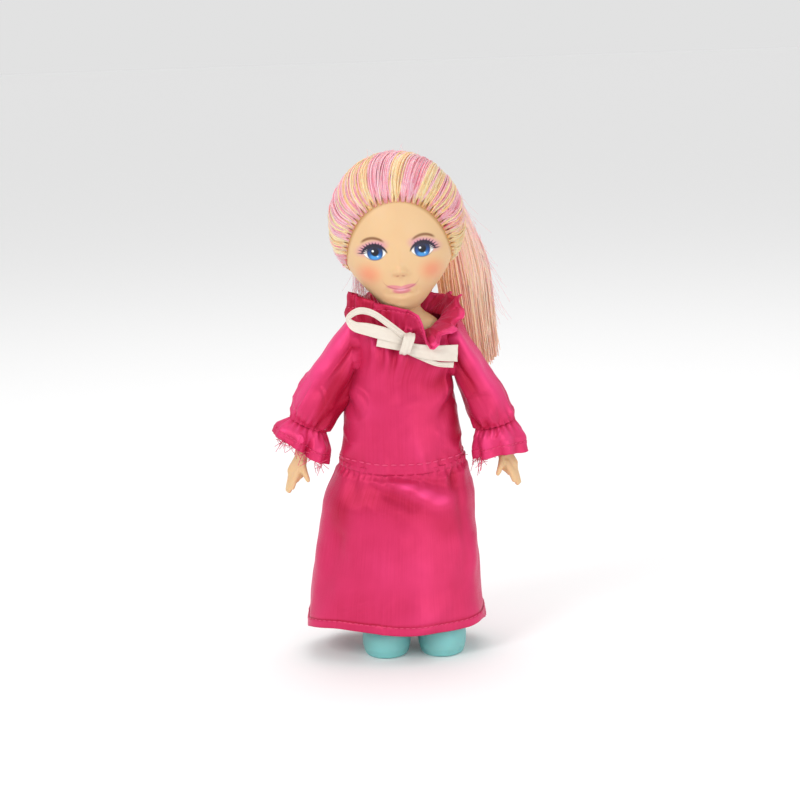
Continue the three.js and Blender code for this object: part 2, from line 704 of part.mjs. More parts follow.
function collarPoint(angle, t) {
  const seam = neckSeam(angle).add(vec(0, 0, FIT + CLOTH * 0.4));
  const dip = THREE.MathUtils.radToDeg(angle) - 360 + 62;
  const front = Math.exp(-((dip / 32) ** 2));
  const standing = 1.6 * Math.max(0, -Math.cos(angle)) - 1.8 * Math.max(0, Math.sin(angle));
  const high = COLLAR_HIGH + standing - 9.6 * front;
  const edge = onOval(angle, COLLAR_WIDE, COLLAR_DEEP, seam.z + high, 2);
  edge.y -= 4.4 * front;
  const wave = Math.sin(RUFFLES * angle + 0.7);
  const out = onOval(angle, 2, 2, 0, 2);
  edge.addScaledVector(out, 0.9 * wave - 0.3).add(vec(0, 0, 0.8 * Math.cos(RUFFLES * angle)));
  const bend = seam.clone().lerp(edge, 0.5).add(vec(0, 0, 1.2 + 0.8 * front));
  const run = new THREE.QuadraticBezierCurve3(seam, bend, edge);
  return run.getPoint(t);
}

// Sleeves: from the armhole's flat seam down to the gather at the wrist

const GATHER = onArm(10.3, 1.2, 20.6);
const DOWN_CUFF = vec(0.16, -0.08, -1).normalize();

// The sleeve lies between an outer and an inner edge, from the armhole to the gather.
function sleeveFrame(side, t) {
  const gatherUp = vec(-DOWN_CUFF.z, 0, DOWN_CUFF.x).setLength(GATHER_R);
  const top = vec(SEAM_X, 0, SHOULDER_Z + ARMHOLE_R);
  const armpit = vec(SEAM_X, 0, armpitZ);
  const outer = sided(top.lerp(GATHER.clone().add(gatherUp), t), side);
  const inner = sided(armpit.lerp(GATHER.clone().sub(gatherUp), t), side);
  const up = outer.clone().sub(inner).setY(0);
  const tall = up.length() / 2;
  const centre = outer.add(inner).multiplyScalar(0.5);
  return { centre, tall, across: vec(0, 1, 0), up: up.normalize() };
}

function sleevePoint(side, angle, t) {
  const { centre, tall, across, up } = sleeveFrame(side, t);
  const full = 1.1 * Math.sin(Math.PI * t);
  const deep = lerp(ARMHOLE_R, SLEEVE_R, smooth(t * 1.8));
  const drawn = lerp(deep, GATHER_R, smooth((t - 0.72) / 0.28));
  const crease = 0.45 * Math.sin(7 * angle + side) * smooth((t - 0.5) / 0.4);
  const fold = 0.9 * Math.sin(3 * angle + 1) * Math.sin(Math.PI * t);
  const swell = crease + fold + full;
  return centre
    .addScaledVector(across, (drawn + swell) * Math.cos(angle))
    .addScaledVector(up, (tall + swell) * Math.sin(angle));
}

function sleeve(side) {
  const place = (angle, t) => sleevePoint(side, angle, t);
  const cloth = solid(throughWall(21, 6, CLOTH * side, place));
  const outboard = box(ROOM, ROOM, ROOM, side * (ROOM / 2 + SEAM_X), 0, SHOULDER_Z);
  return shapeOf(cloth.intersect(outboard));
}

// Cuffs: a flounce that flares from the gather, open round the wrist

function cuffPoint(side, angle, t) {
  const { centre, across, up } = sleeveFrame(side, 1);
  const along = vec(side * DOWN_CUFF.x, DOWN_CUFF.y, DOWN_CUFF.z);
  const out = smooth(t * 1.3);
  const wave = 0.8 * Math.sin(5 * angle + 1.2 * side) * t;
  const r = lerp(GATHER_R - 0.3, side < 0 ? RIGHT_CUFF_R : CUFF_R, out) + wave;
  return centre
    .addScaledVector(along, FIT + CUFF_LONG * t)
    .addScaledVector(across, r * 0.92 * Math.cos(angle))
    .addScaledVector(up, r * Math.sin(angle));
}

const cuff = (side) =>
  throughWall(26, 4, CLOTH * side, (angle, t) => cuffPoint(side, angle, t));

// Skirt: hung from the waist seam, with the folds that fall from it

// Each fold: where it stands round the skirt, in degrees, how wide it is and how proud.
const SKIRT_FOLDS = [
  [-32, 13, 1.1],
  [-72, 20, 0.5],
  [-118, 18, 0.5],
  [-158, 12, 0.8],
  [28, 14, 1.2],
  [62, 12, 1.0],
  [96, 12, 1.3],
  [128, 12, 1.0],
  [158, 12, 1.1],
];

function foldsAt(angle) {
  return SKIRT_FOLDS.reduce((sum, [at, wide, proud]) => {
    const away = angle - THREE.MathUtils.degToRad(at);
    const off = THREE.MathUtils.radToDeg(Math.atan2(Math.sin(away), Math.cos(away)));
    return sum + proud * Math.exp(-((off / wide) ** 2));
  }, 0);
}

function skirtPoint(angle, t) {
  const z = lerp(WAIST_Z - FIT, HEM_Z, t);
  const hip = smooth(t * 4);
  const wide = lerp(WAIST_WIDE + 0.6, lerp(WAIST_WIDE + 4.6, HEM_WIDE, t), hip);
  const deep = lerp(WAIST_DEEP + 0.4, lerp(WAIST_DEEP + 3.6, HEM_DEEP, t), hip);
  const p = onOval(angle, wide, deep, z, 2.1);
  const out = vec(p.x, p.y, 0).normalize();
  p.addScaledVector(out, (foldsAt(angle) - 0.5) * smooth(t * 1.2));
  p.x += HEM_SHIFT * t;
  p.z -= 0.8 * frontness(angle) * t;
  return p;
}

// Bow: one ribbon with an open loop, a folded end and two tails, held by its knot

const KNOT = vec(0.8, 0, SHOULDER_Z + KNOT_RISE);

function ribbonPiece(outline, hole) {
  const shape = new THREE.Shape(new THREE.SplineCurve(outline).getPoints(28));
  if (hole) {
    shape.holes.push(new THREE.Path(new THREE.SplineCurve(hole).getPoints(16)));
  }
  return solid(new THREE.ExtrudeGeometry(shape, { depth: RIBBON, bevelEnabled: false }));
}

function bandPiece(corners) {
  const shape = new THREE.Shape(corners);
  return solid(new THREE.ExtrudeGeometry(shape, { depth: RIBBON, bevelEnabled: false }));
}

const flat = (list) => list.map(([x, z]) => new THREE.Vector2(x, z));

// The bow is drawn flat, from the knot, then laid over the curve of the chest.
const BOW_Y = -11.5; // back of the ribbon at the knot
const BOW_LEAN = 0.14; // how far the loop leans forward as it rises
const BOW_CURVE_WIDE = CHEST_WIDE / 2 + 8;

function laidOnChest(manifold) {
  const upright = new THREE.Matrix4().makeRotationX(Math.PI / 2);
  const onKnot = shifted(KNOT.x, 0, KNOT.z).multiply(upright);
  return bent(placed(manifold, onKnot), (p) => {
    const round = (1 - Math.abs(p.x / BOW_CURVE_WIDE) ** 2.6) ** (1 / 2.6);
    return p.setY(p.y + BOW_Y * round - BOW_LEAN * Math.max(0, p.z - KNOT.z));
  });
}

function bowRibbon() {
  const loop = ribbonPiece(
    flat([
      [1, 1.2],
      [-5, 5.6],
      [-10.4, 8.2],
      [-14.6, 6.8],
      [-13.8, 4],
      [-9, 1.6],
      [-4, 0.4],
      [1, -1.2],
      [1, 1.2],
    ]),
    flat([[-4.6, 3.6], [-8.4, 6], [-11.4, 6.4], [-12.6, 5.6], [-11, 4.6], [-7, 4.2], [-4.6, 3.6]]),
  );
  const foldedEnd = bandPiece(flat([[-9, -2.2], [1, -2.4], [1, 1.8], [-8.6, 1.4]]));
  const wideTail = bandPiece(flat([[-1, -1.6], [13.6, -2.8], [14, 1], [-1, 1]]));
  const thinTail = bandPiece(flat([[-1, -2], [12.6, -5.6], [13, -4.4], [-1, -0.4]]));
  return shapeOf(laidOnChest(joined(loop, foldedEnd, wideTail, thinTail)));
}

function bowKnot() {
  const knot = egg(vec(0, 0, 0), vec(2.2, 1.1, 2.6), 2.6, 16, 8);
  knot.rotateY(THREE.MathUtils.degToRad(24));
  const front = solid(knot).intersect(box(ROOM, ROOM, ROOM, 0, -ROOM / 2, 0));
  return shapeOf(placed(front, shifted(KNOT.x, BOW_Y - RIBBON - FIT, KNOT.z)));
}

// Materials, with the colours of the real surfaces

const finish = (color, roughness) =>
  new THREE.MeshStandardMaterial({ color, roughness, metalness: 0 });

const SKIN = finish(0xe6bd8d, 0.5);
const HARD_SKIN = finish(0xe3b98a, 0.4);
const HAIR = finish(0xe8b97c, 0.4);
const ELASTIC = finish(0xe08aa4, 0.6);
const SATIN = finish(0xd1265a, 0.35);
const STRIP_WHITE = finish(0xf2efec, 0.9);
const RIBBON_CREAM = finish(0xeae0d3, 0.6);
const SHOE_TEAL = finish(0x79bcbb, 0.55);

// Assembly

const doll = new THREE.Group();
doll.position.set(FIGURE_X, FIGURE_Y, 0);

function add(name, geometry, material) {
  const mesh = new THREE.Mesh(geometry, material);
  mesh.name = name;
  doll.add(mesh);
}

add("torso_front", torsoFront, HARD_SKIN);
add("torso_back", torsoBack, HARD_SKIN);
add("neck_pin", neckPin, HARD_SKIN);
add("neck_knob", neckKnob(), HARD_SKIN);
add("hip_axle", hipAxle, HARD_SKIN);
add("head", shapeOf(headShell()), SKIN);
add("hair_cap", shapeOf(hairCap()), HAIR);
add("hair_tie", hairTie(), ELASTIC);
add("ponytail", shapeOf(ponytail()), HAIR);

for (const [side, label] of [[1, "left"], [-1, "right"]]) {
  add(`arm_${label}`, arm(side), SKIN);
  add(`leg_${label}`, leg(side), SKIN);
  add(`shoe_${label}`, shoe(side), SHOE_TEAL);
  add(`sleeve_${label}`, sleeve(side), SATIN);
  add(`cuff_${label}`, cuff(side), SATIN);
}

add("bodice_front", bodiceFront, SATIN);
add("bodice_back_left", bodiceBackLeft, SATIN);
add("bodice_back_right", bodiceBackRight, SATIN);
add("closure_loop_strip", closureStrip(0), STRIP_WHITE);
add("closure_hook_strip", closureStrip(1), STRIP_WHITE);
add("collar", throughWall(7 * RUFFLES, 2, CLOTH, collarPoint), SATIN);
add("skirt", throughWall(6 * SKIRT_FOLDS.length, 5, CLOTH, skirtPoint), SATIN);
add("bow_ribbon", bowRibbon(), RIBBON_CREAM);
add("bow_knot", bowKnot(), RIBBON_CREAM);

export default doll;
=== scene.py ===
import math

import bpy
import numpy as np
from mathutils import Matrix, Vector, noise


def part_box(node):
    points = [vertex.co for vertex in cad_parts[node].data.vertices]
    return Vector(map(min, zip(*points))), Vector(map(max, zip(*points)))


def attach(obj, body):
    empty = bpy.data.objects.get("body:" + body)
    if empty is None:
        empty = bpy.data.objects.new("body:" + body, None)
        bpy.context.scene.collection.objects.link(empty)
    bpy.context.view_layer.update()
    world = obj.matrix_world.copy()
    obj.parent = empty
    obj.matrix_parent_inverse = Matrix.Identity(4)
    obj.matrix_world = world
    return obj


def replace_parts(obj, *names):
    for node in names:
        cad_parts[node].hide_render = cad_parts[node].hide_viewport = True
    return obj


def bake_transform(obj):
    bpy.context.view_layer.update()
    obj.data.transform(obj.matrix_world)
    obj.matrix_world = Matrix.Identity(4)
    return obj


# A small child fashion doll in a long satin gown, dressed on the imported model.
# Meshes are worked out in millimetres from the doll's neck axis and the floor, with the
# doll facing -Y, and become metres of the model's frame when their mesh is made.
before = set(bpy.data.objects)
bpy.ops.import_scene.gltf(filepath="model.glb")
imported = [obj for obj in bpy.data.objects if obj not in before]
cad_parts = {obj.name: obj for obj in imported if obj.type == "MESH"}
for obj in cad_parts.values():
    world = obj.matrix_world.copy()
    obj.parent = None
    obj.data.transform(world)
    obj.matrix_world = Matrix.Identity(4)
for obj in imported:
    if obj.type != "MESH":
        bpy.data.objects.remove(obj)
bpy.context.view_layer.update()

# The studio: a pale paper floor, large soft lamps, and a long lens a little above the doll.
# The doll in the photograph leans 2 degrees to its right, which the camera's roll gives.

MM = 0.001
neck_low, neck_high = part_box("neck_pin")
NECK_AXIS = np.array([(neck_low.x + neck_high.x) / 2, (neck_low.y + neck_high.y) / 2, 0]) / MM

LENS = 100
SENSOR_WIDE = 36
CAMERA_AWAY = 611
CAMERA_RISE = math.radians(10)
CAMERA_ROLL = math.radians(-2)
AIM = np.array([-1.7, 0, 69.7])
FLOOR_SIDE = 14  # metres
LAMP_AIM = Vector((0, 0, 0.07))  # the doll's chest, in metres
# For each lamp: its place and its side in metres, and its power in watts.
LAMPS = {
    "key": ((-0.42, -0.5, 0.5), 0.28, 1.9),
    "fill": ((0.4, -0.6, 0.12), 0.3, 1.1),
    "top": ((0.05, 0.25, 0.75), 0.5, 1.6),
}
ROOM_LIGHT = 0.76
WHITE = (1, 1, 1, 1)


def linked(name, data):
    """An object for a mesh, a lamp or a camera, put into the scene."""
    made = bpy.data.objects.new(name, data)
    bpy.context.collection.objects.link(made)
    return made


def plain_material(name, colour, roughness, **looks):
    """A material of one colour. Looks are more inputs of its surface, with _ for a space."""
    made = bpy.data.materials.new(name)
    made.use_nodes = True
    surface = made.node_tree.nodes["Principled BSDF"]
    surface.inputs["Base Color"].default_value = (*colour, 1)
    surface.inputs["Roughness"].default_value = roughness
    for look, value in looks.items():
        surface.inputs[look.replace("_", " ")].default_value = value
    return made


camera = linked("camera", bpy.data.cameras.new("camera"))
camera.data.lens = LENS
camera.data.sensor_width = SENSOR_WIDE
camera.data.clip_start = 0.01
away = CAMERA_AWAY * np.array([0, -math.cos(CAMERA_RISE), math.sin(CAMERA_RISE)])
camera.location = (AIM + NECK_AXIS + away) * MM
look = Matrix.Rotation(math.pi / 2 - CAMERA_RISE, 4, "X") @ Matrix.Rotation(CAMERA_ROLL, 4, "Z")
camera.rotation_euler = look.to_euler()
bpy.context.scene.camera = camera
bpy.context.scene.view_settings.view_transform = "Standard"

floor_mesh = bpy.data.meshes.new("floor")
half = FLOOR_SIDE / 2
floor_corners = [(-half, -half, 0), (half, -half, 0), (half, half, 0), (-half, half, 0)]
floor_mesh.from_pydata(floor_corners, [], [(0, 1, 2, 3)])
paper = plain_material("paper", (0.95, 0.95, 0.95), 0.8, Emission_Color=WHITE, Emission_Strength=0.04)
floor_mesh.materials.append(paper)
linked("floor", floor_mesh)

for name, (place, size, power) in LAMPS.items():
    light = bpy.data.lights.new(name, "AREA")
    light.size = size
    light.energy = power
    lamp = linked(name, light)
    lamp.location = place
    lamp.rotation_euler = (LAMP_AIM - lamp.location).to_track_quat("-Z", "Y").to_euler()

world = bpy.data.worlds.new("studio")
world.use_nodes = True
world.node_tree.nodes["Background"].inputs["Color"].default_value = WHITE
world.node_tree.nodes["Background"].inputs["Strength"].default_value = ROOM_LIGHT
bpy.context.scene.world = world

# The head: a hollow rotocast vinyl shell with moulded features, snapped over the knob of
# the neck and leaned a little to its right. The painted face is sprayed and printed on it.

HEAD_HALF = np.array([15.5, 15.2, 18.2])
HEAD_Y = -0.5
HEAD_LOW = 96.9
HEAD_ROLL = math.radians(-2.6)
SKULL_POWER = 2.15
CHIN_NARROW = 0.2
CHIN_DROP = 2.6
JAW_HALF = 8.2
JAW_TOP = 106
NECK_HOLE = 4.5
HEAD_SIDES = 264
HEAD_ROWS = 170
head_middle = np.array([0, HEAD_Y, HEAD_LOW + HEAD_HALF[2]])


def quad_mesh(name, points, closed=True):
    """A mesh of quads through rows of points, with UV in mm round and along the piece."""
    rows, around = points.shape[:2]
    columns = around if closed else around - 1
    row, column = np.meshgrid(np.arange(rows - 1), np.arange(columns), indexing="ij")
    beside = (column + 1) % around
    corners = [row * around + column, row * around + beside]
    corners += [(row + 1) * around + beside, (row + 1) * around + column]
    faces = np.stack(corners, -1).reshape(-1, 4)
    flat = points.reshape(-1, 3)
    a, b, d = flat[faces[:, 0]], flat[faces[:, 1]], flat[faces[:, 3]]
    middle = np.repeat(points.mean(1), columns, 0)[: len(faces)]
    outward = (np.cross(b - a, d - a) * (a - middle)).sum()
    u = np.stack([column, column + 1, column + 1, column], -1).reshape(-1, 4)
    v = np.stack([row, row, row + 1, row + 1], -1).reshape(-1, 4)
    if outward < 0:
        faces, u, v = faces[:, ::-1], u[:, ::-1], v[:, ::-1]
    mesh = bpy.data.meshes.new(name)
    mesh.from_pydata(((flat + NECK_AXIS) * MM).tolist(), [], faces.tolist())
    wide = np.linalg.norm(np.diff(points, axis=1), axis=2).sum(1).mean() / max(1, columns - 1)
    long = np.linalg.norm(np.diff(points, axis=0), axis=2).mean(1)
    along = np.concatenate([[0], np.cumsum(long)])
    layer = mesh.uv_layers.new(name="cloth")
    layer.data.foreach_set("uv", np.stack([u * wide, along[v]], -1).astype(np.float32).ravel())
    mesh.shade_smooth()
    return mesh


def smooth(t):
    """A soft step from 0 to 1."""
    t = np.clip(t, 0, 1)
    return t * t * (3 - 2 * t)


def squared(c, power):
    """A cosine or sine bent so that the oval it makes is squarer, for powers over 2."""
    return np.sign(c) * np.abs(c) ** (2 / power)


def all_round(count):
    """Angles evenly apart, all the way round."""
    return np.linspace(0, 2 * math.pi, count, endpoint=False)


def drawn_in(ring):
    """A ring of points drawn together at its middle, which closes the end of a piece."""
    return ring.mean(1, keepdims=True) * np.ones_like(ring)


def skull_point(turn, tilt):
    """A point on the head before it leans: turn is round Z, and tilt runs from chin to crown."""
    ring = squared(np.sin(tilt), SKULL_POWER)
    z = -HEAD_HALF[2] * squared(np.cos(tilt), SKULL_POWER)
    narrow = 1 - CHIN_NARROW * np.clip(-z / HEAD_HALF[2], 0, None) ** 2
    x = HEAD_HALF[0] * ring * np.cos(turn) * narrow
    y = HEAD_HALF[1] * ring * np.sin(turn)
    return np.stack([x, y, z + 0 * x], -1) + head_middle


def leaned(points):
    """The same points with the head's lean, about the bottom of the head."""
    c, s = math.cos(HEAD_ROLL), math.sin(HEAD_ROLL)
    x, z = points[..., 0], points[..., 2] - HEAD_LOW
    return np.stack([x * c + z * s, points[..., 1], -x * s + z * c + HEAD_LOW], -1)


# Moulded features: x and height on the face, half width, half height and how far forward.
FEATURES = [
    (6.4, 112.2, 3.9, 2.7, -0.7),
    (6.4, 112.0, 2.5, 1.8, 0.45),
    (0, 110.2, 1.4, 2.6, 0.4),
    (0, 107.0, 1.4, 1.25, 1.5),
    (1.55, 106.5, 0.85, 0.7, 0.6),
    (0.75, 105.6, 0.45, 0.28, -0.35),
    (0, 104.3, 0.5, 0.8, -0.16),
    (1.0, 102.7, 1.6, 0.5, 0.38),
    (0, 101.0, 2.0, 0.6, 0.55),
    (0, 101.85, 3.4, 0.22, -0.5),
    (4.2, 102.4, 0.7, 0.6, -0.4),
    (0, 98.4, 3.0, 1.7, 0.9),
    (7.8, 105.4, 3.4, 3.0, 0.6),
]


def moulded(points):
    """Points of the bare skull pushed out or in for the features and down for the chin."""
    x, y, z = np.moveaxis(points, -1, 0)
    front = smooth((HEAD_Y - y) / 4)
    forward = np.zeros_like(x)
    for at_x, at_z, wide, high, proud in FEATURES:
        for sign in (1, -1) if at_x else (1,):
            spread = ((x - sign * at_x) / wide) ** 2 + ((z - at_z) / high) ** 2
            forward += proud * np.exp(-spread)
    jaw = np.exp(-((x / JAW_HALF) ** 4)) * smooth((JAW_TOP - z) / 8) * smooth((1 - y) / 7)
    return np.stack([x, y - forward * front, z - CHIN_DROP * jaw], -1)


turns = all_round(HEAD_SIDES)
turns = turns + 0.45 * np.cos(turns)  # wider apart at the front than at the back
first_tilt = math.asin((NECK_HOLE / HEAD_HALF[0]) ** (SKULL_POWER / 2)) * 1.05
tilts = np.linspace(first_tilt, math.pi - 0.02, HEAD_ROWS)
face_grid = skull_point(turns[None, :], tilts[:, None])
inner_rim = face_grid[:1] * [0.6, 0.6, 1] + [0, 0, 0.5]
throat = inner_rim + [0, 0, 2]
head_points = np.concatenate([throat, inner_rim, moulded(face_grid), drawn_in(face_grid[-1:])])
head = linked("head", quad_mesh("head", leaned(head_points)))


def vector_mapped(tree, where, place, turn, scale):
    """The vector as seen from a place that is turned and scaled."""
    node = tree.nodes.new("ShaderNodeMapping")
    node.vector_type = "TEXTURE"
    node.inputs["Location"].default_value = place
    node.inputs["Rotation"].default_value = turn
    node.inputs["Scale"].default_value = scale
    tree.links.new(where, node.inputs["Vector"])
    return node.outputs["Vector"]


def maths(tree, operation, a, b=None):
    """A sum or the like of one or two values or numbers. Sums and differences stay in 0 to 1."""
    node = tree.nodes.new("ShaderNodeMath")
    node.operation = operation
    node.use_clamp = operation in ("ADD", "SUBTRACT")
    for value, socket in zip((a, b), node.inputs):
        if isinstance(value, (int, float)):
            socket.default_value = value
        elif value is not None:
            tree.links.new(value, socket)
    return node.outputs["Value"]


def ranged(tree, value, low, high, to_low=0.0, to_high=1.0):
    """A value's way from low to high, made a soft step between two numbers."""
    node = tree.nodes.new("ShaderNodeMapRange")
    node.interpolation_type = "SMOOTHSTEP"
    for key, number in (("From Min", low), ("From Max", high), ("To Min", to_low), ("To Max", to_high)):
        node.inputs[key].default_value = number
    tree.links.new(value, node.inputs["Value"])
    return node.outputs["Result"]


FLAT = 1e4  # a scale that makes the depth of the face count for nothing


def oval(tree, where, x, z, wide, high, turn, soft):
    """1 inside an oval of the face and 0 outside. Sizes are halves in mm, turn in degrees."""
    seen = vector_mapped(tree, where, (x, 0, z), (0, math.radians(turn), 0), (wide, FLAT, high))
    length = tree.nodes.new("ShaderNodeVectorMath")
    length.operation = "LENGTH"
    tree.links.new(seen, length.inputs[0])
    return ranged(tree, length.outputs["Value"], 1 - soft, 1 + soft, 1.0, 0.0)


def painted(tree, under, mask, colour, strength=1.0):
    """Paint laid over a colour where the mask is 1."""
    node = tree.nodes.new("ShaderNodeMix")
    node.data_type = "RGBA"
    tree.links.new(maths(tree, "MULTIPLY", mask, strength), node.inputs["Factor"])
    tree.links.new(under, node.inputs[6])
    node.inputs[7].default_value = (*colour, 1)
    return node.outputs[2]


def noisy(tree, where, scale, detail=2.0):
    node = tree.nodes.new("ShaderNodeTexNoise")
    node.inputs["Scale"].default_value = scale
    node.inputs["Detail"].default_value = detail
    tree.links.new(where, node.inputs["Vector"])
    return node.outputs["Fac"]


def bumped(tree, height, strength, distance):
    """Relief in the surface's normal, its depth in mm."""
    node = tree.nodes.new("ShaderNodeBump")
    node.inputs["Strength"].default_value = strength
    node.inputs["Distance"].default_value = distance * MM
    tree.links.new(height, node.inputs["Height"])
    tree.links.new(node.outputs["Normal"], tree.nodes["Principled BSDF"].inputs["Normal"])


def object_place(tree):
    return tree.nodes.new("ShaderNodeTexCoord").outputs["Object"]


def flat_colour(tree, colour):
    node = tree.nodes.new("ShaderNodeRGB")
    node.outputs[0].default_value = (*colour, 1)
    return node.outputs[0]


def blotched(tree, where, base, colour, strength, scale, low, high, detail=2.0):
    """A colour with soft blotches of another one, where noise of a scale is high."""
    blotches = ranged(tree, noisy(tree, where, scale, detail), low, high)
    return painted(tree, base, blotches, colour, strength)


def coloured(tree, colour):
    tree.links.new(colour, tree.nodes["Principled BSDF"].inputs["Base Color"])


VINYL = (0.72, 0.48, 0.26)
VINYL_DEEP = (0.68, 0.42, 0.21)


def vinyl_material(name, paint=None):
    """Soft matt doll vinyl: a little light goes into it, and its colour drifts slightly."""
    made = plain_material(
        name,
        VINYL,
        0.48,
        Subsurface_Weight=0.2,
        Subsurface_Radius=(1.0, 0.45, 0.2),
        Subsurface_Scale=1.2 * MM,
        Specular_IOR_Level=0.4,
    )
    tree = made.node_tree
    where = object_place(tree)
    colour = blotched(tree, where, flat_colour(tree, VINYL), VINYL_DEEP, 0.35, 90, 0.35, 0.75)
    if paint:
        colour = paint(tree, where, colour)
    coloured(tree, colour)
    bumped(tree, noisy(tree, where, 2600, 3), 0.12, 0.05)
    return made


EYE = (6.4, 15.3)  # middle of an eye, out from the face's middle and up from the chin
EYE_WHITE = (0.86, 0.84, 0.82)
IRIS_DARK = (0.008, 0.03, 0.11)
IRIS_BLUE = (0.015, 0.10, 0.36)
IRIS_LIGHT = (0.06, 0.32, 0.72)
PUPIL = (0.004, 0.004, 0.01)
LID_SHADE = (0.02, 0.02, 0.05)
# The layers of an eye, from the lowest up: middle from the eye's own, half sizes, softness,
# colour and strength. They stay within the opening of the lids.
EYE_LAYERS = [
    (-0.1, 0.15, 2.15, 2.25, 0.08, IRIS_DARK, 1.0),
    (-0.1, -0.2, 1.8, 1.75, 0.2, IRIS_BLUE, 1.0),
    (-0.1, -1.05, 1.35, 0.75, 0.5, IRIS_LIGHT, 0.9),
    (-0.1, 1.15, 2.2, 1.5, 0.4, IRIS_DARK, 0.8),
    (-0.1, 0.35, 1.05, 1.15, 0.15, PUPIL, 1.0),
    (0, 2.3, 3.2, 1.6, 0.4, LID_SHADE, 0.6),
]
GLINT = (0.85, 0.9, 0.95)
GLINT_LOW = (0.8, 0.92, 1)
LASHES = 10
LASH_DARK = (0.018, 0.012, 0.03)
LOWER_LID = (0.09, 0.07, 0.14)
BROW_BROWN = (0.26, 0.12, 0.05)
EYE_SHADOW = (0.62, 0.24, 0.38)
BLUSH = (0.78, 0.22, 0.12)
NOSE_SHADE = (0.60, 0.33, 0.17)
NOSTRIL = (0.45, 0.20, 0.12)
LIP = (0.66, 0.20, 0.26)
LIP_HIGHLIGHT = (0.86, 0.45, 0.54)
LIP_LINE = (0.38, 0.10, 0.10)
SCALP = (0.50, 0.27, 0.10)
HAIRLINE_MIDDLE = 106.4
HAIRLINE_HALF = (14.3, 18.9)
NAPE_SLOPE = math.tan(math.radians(22))
SCALP_LOW = (10.0, 10.6)  # where the scalp's paint begins and is full, up from the chin


def crescent(tree, where, x, z, wide, high, drop, turn, soft):
    """An arched stroke: an oval less the same one moved down, or up where drop is negative."""
    outer = oval(tree, where, x, z, wide, high, turn, soft)
    cut = oval(tree, where, x, z - drop, wide * 1.04, high, turn, soft)
    return maths(tree, "MULTIPLY", outer, maths(tree, "SUBTRACT", 1.0, cut))


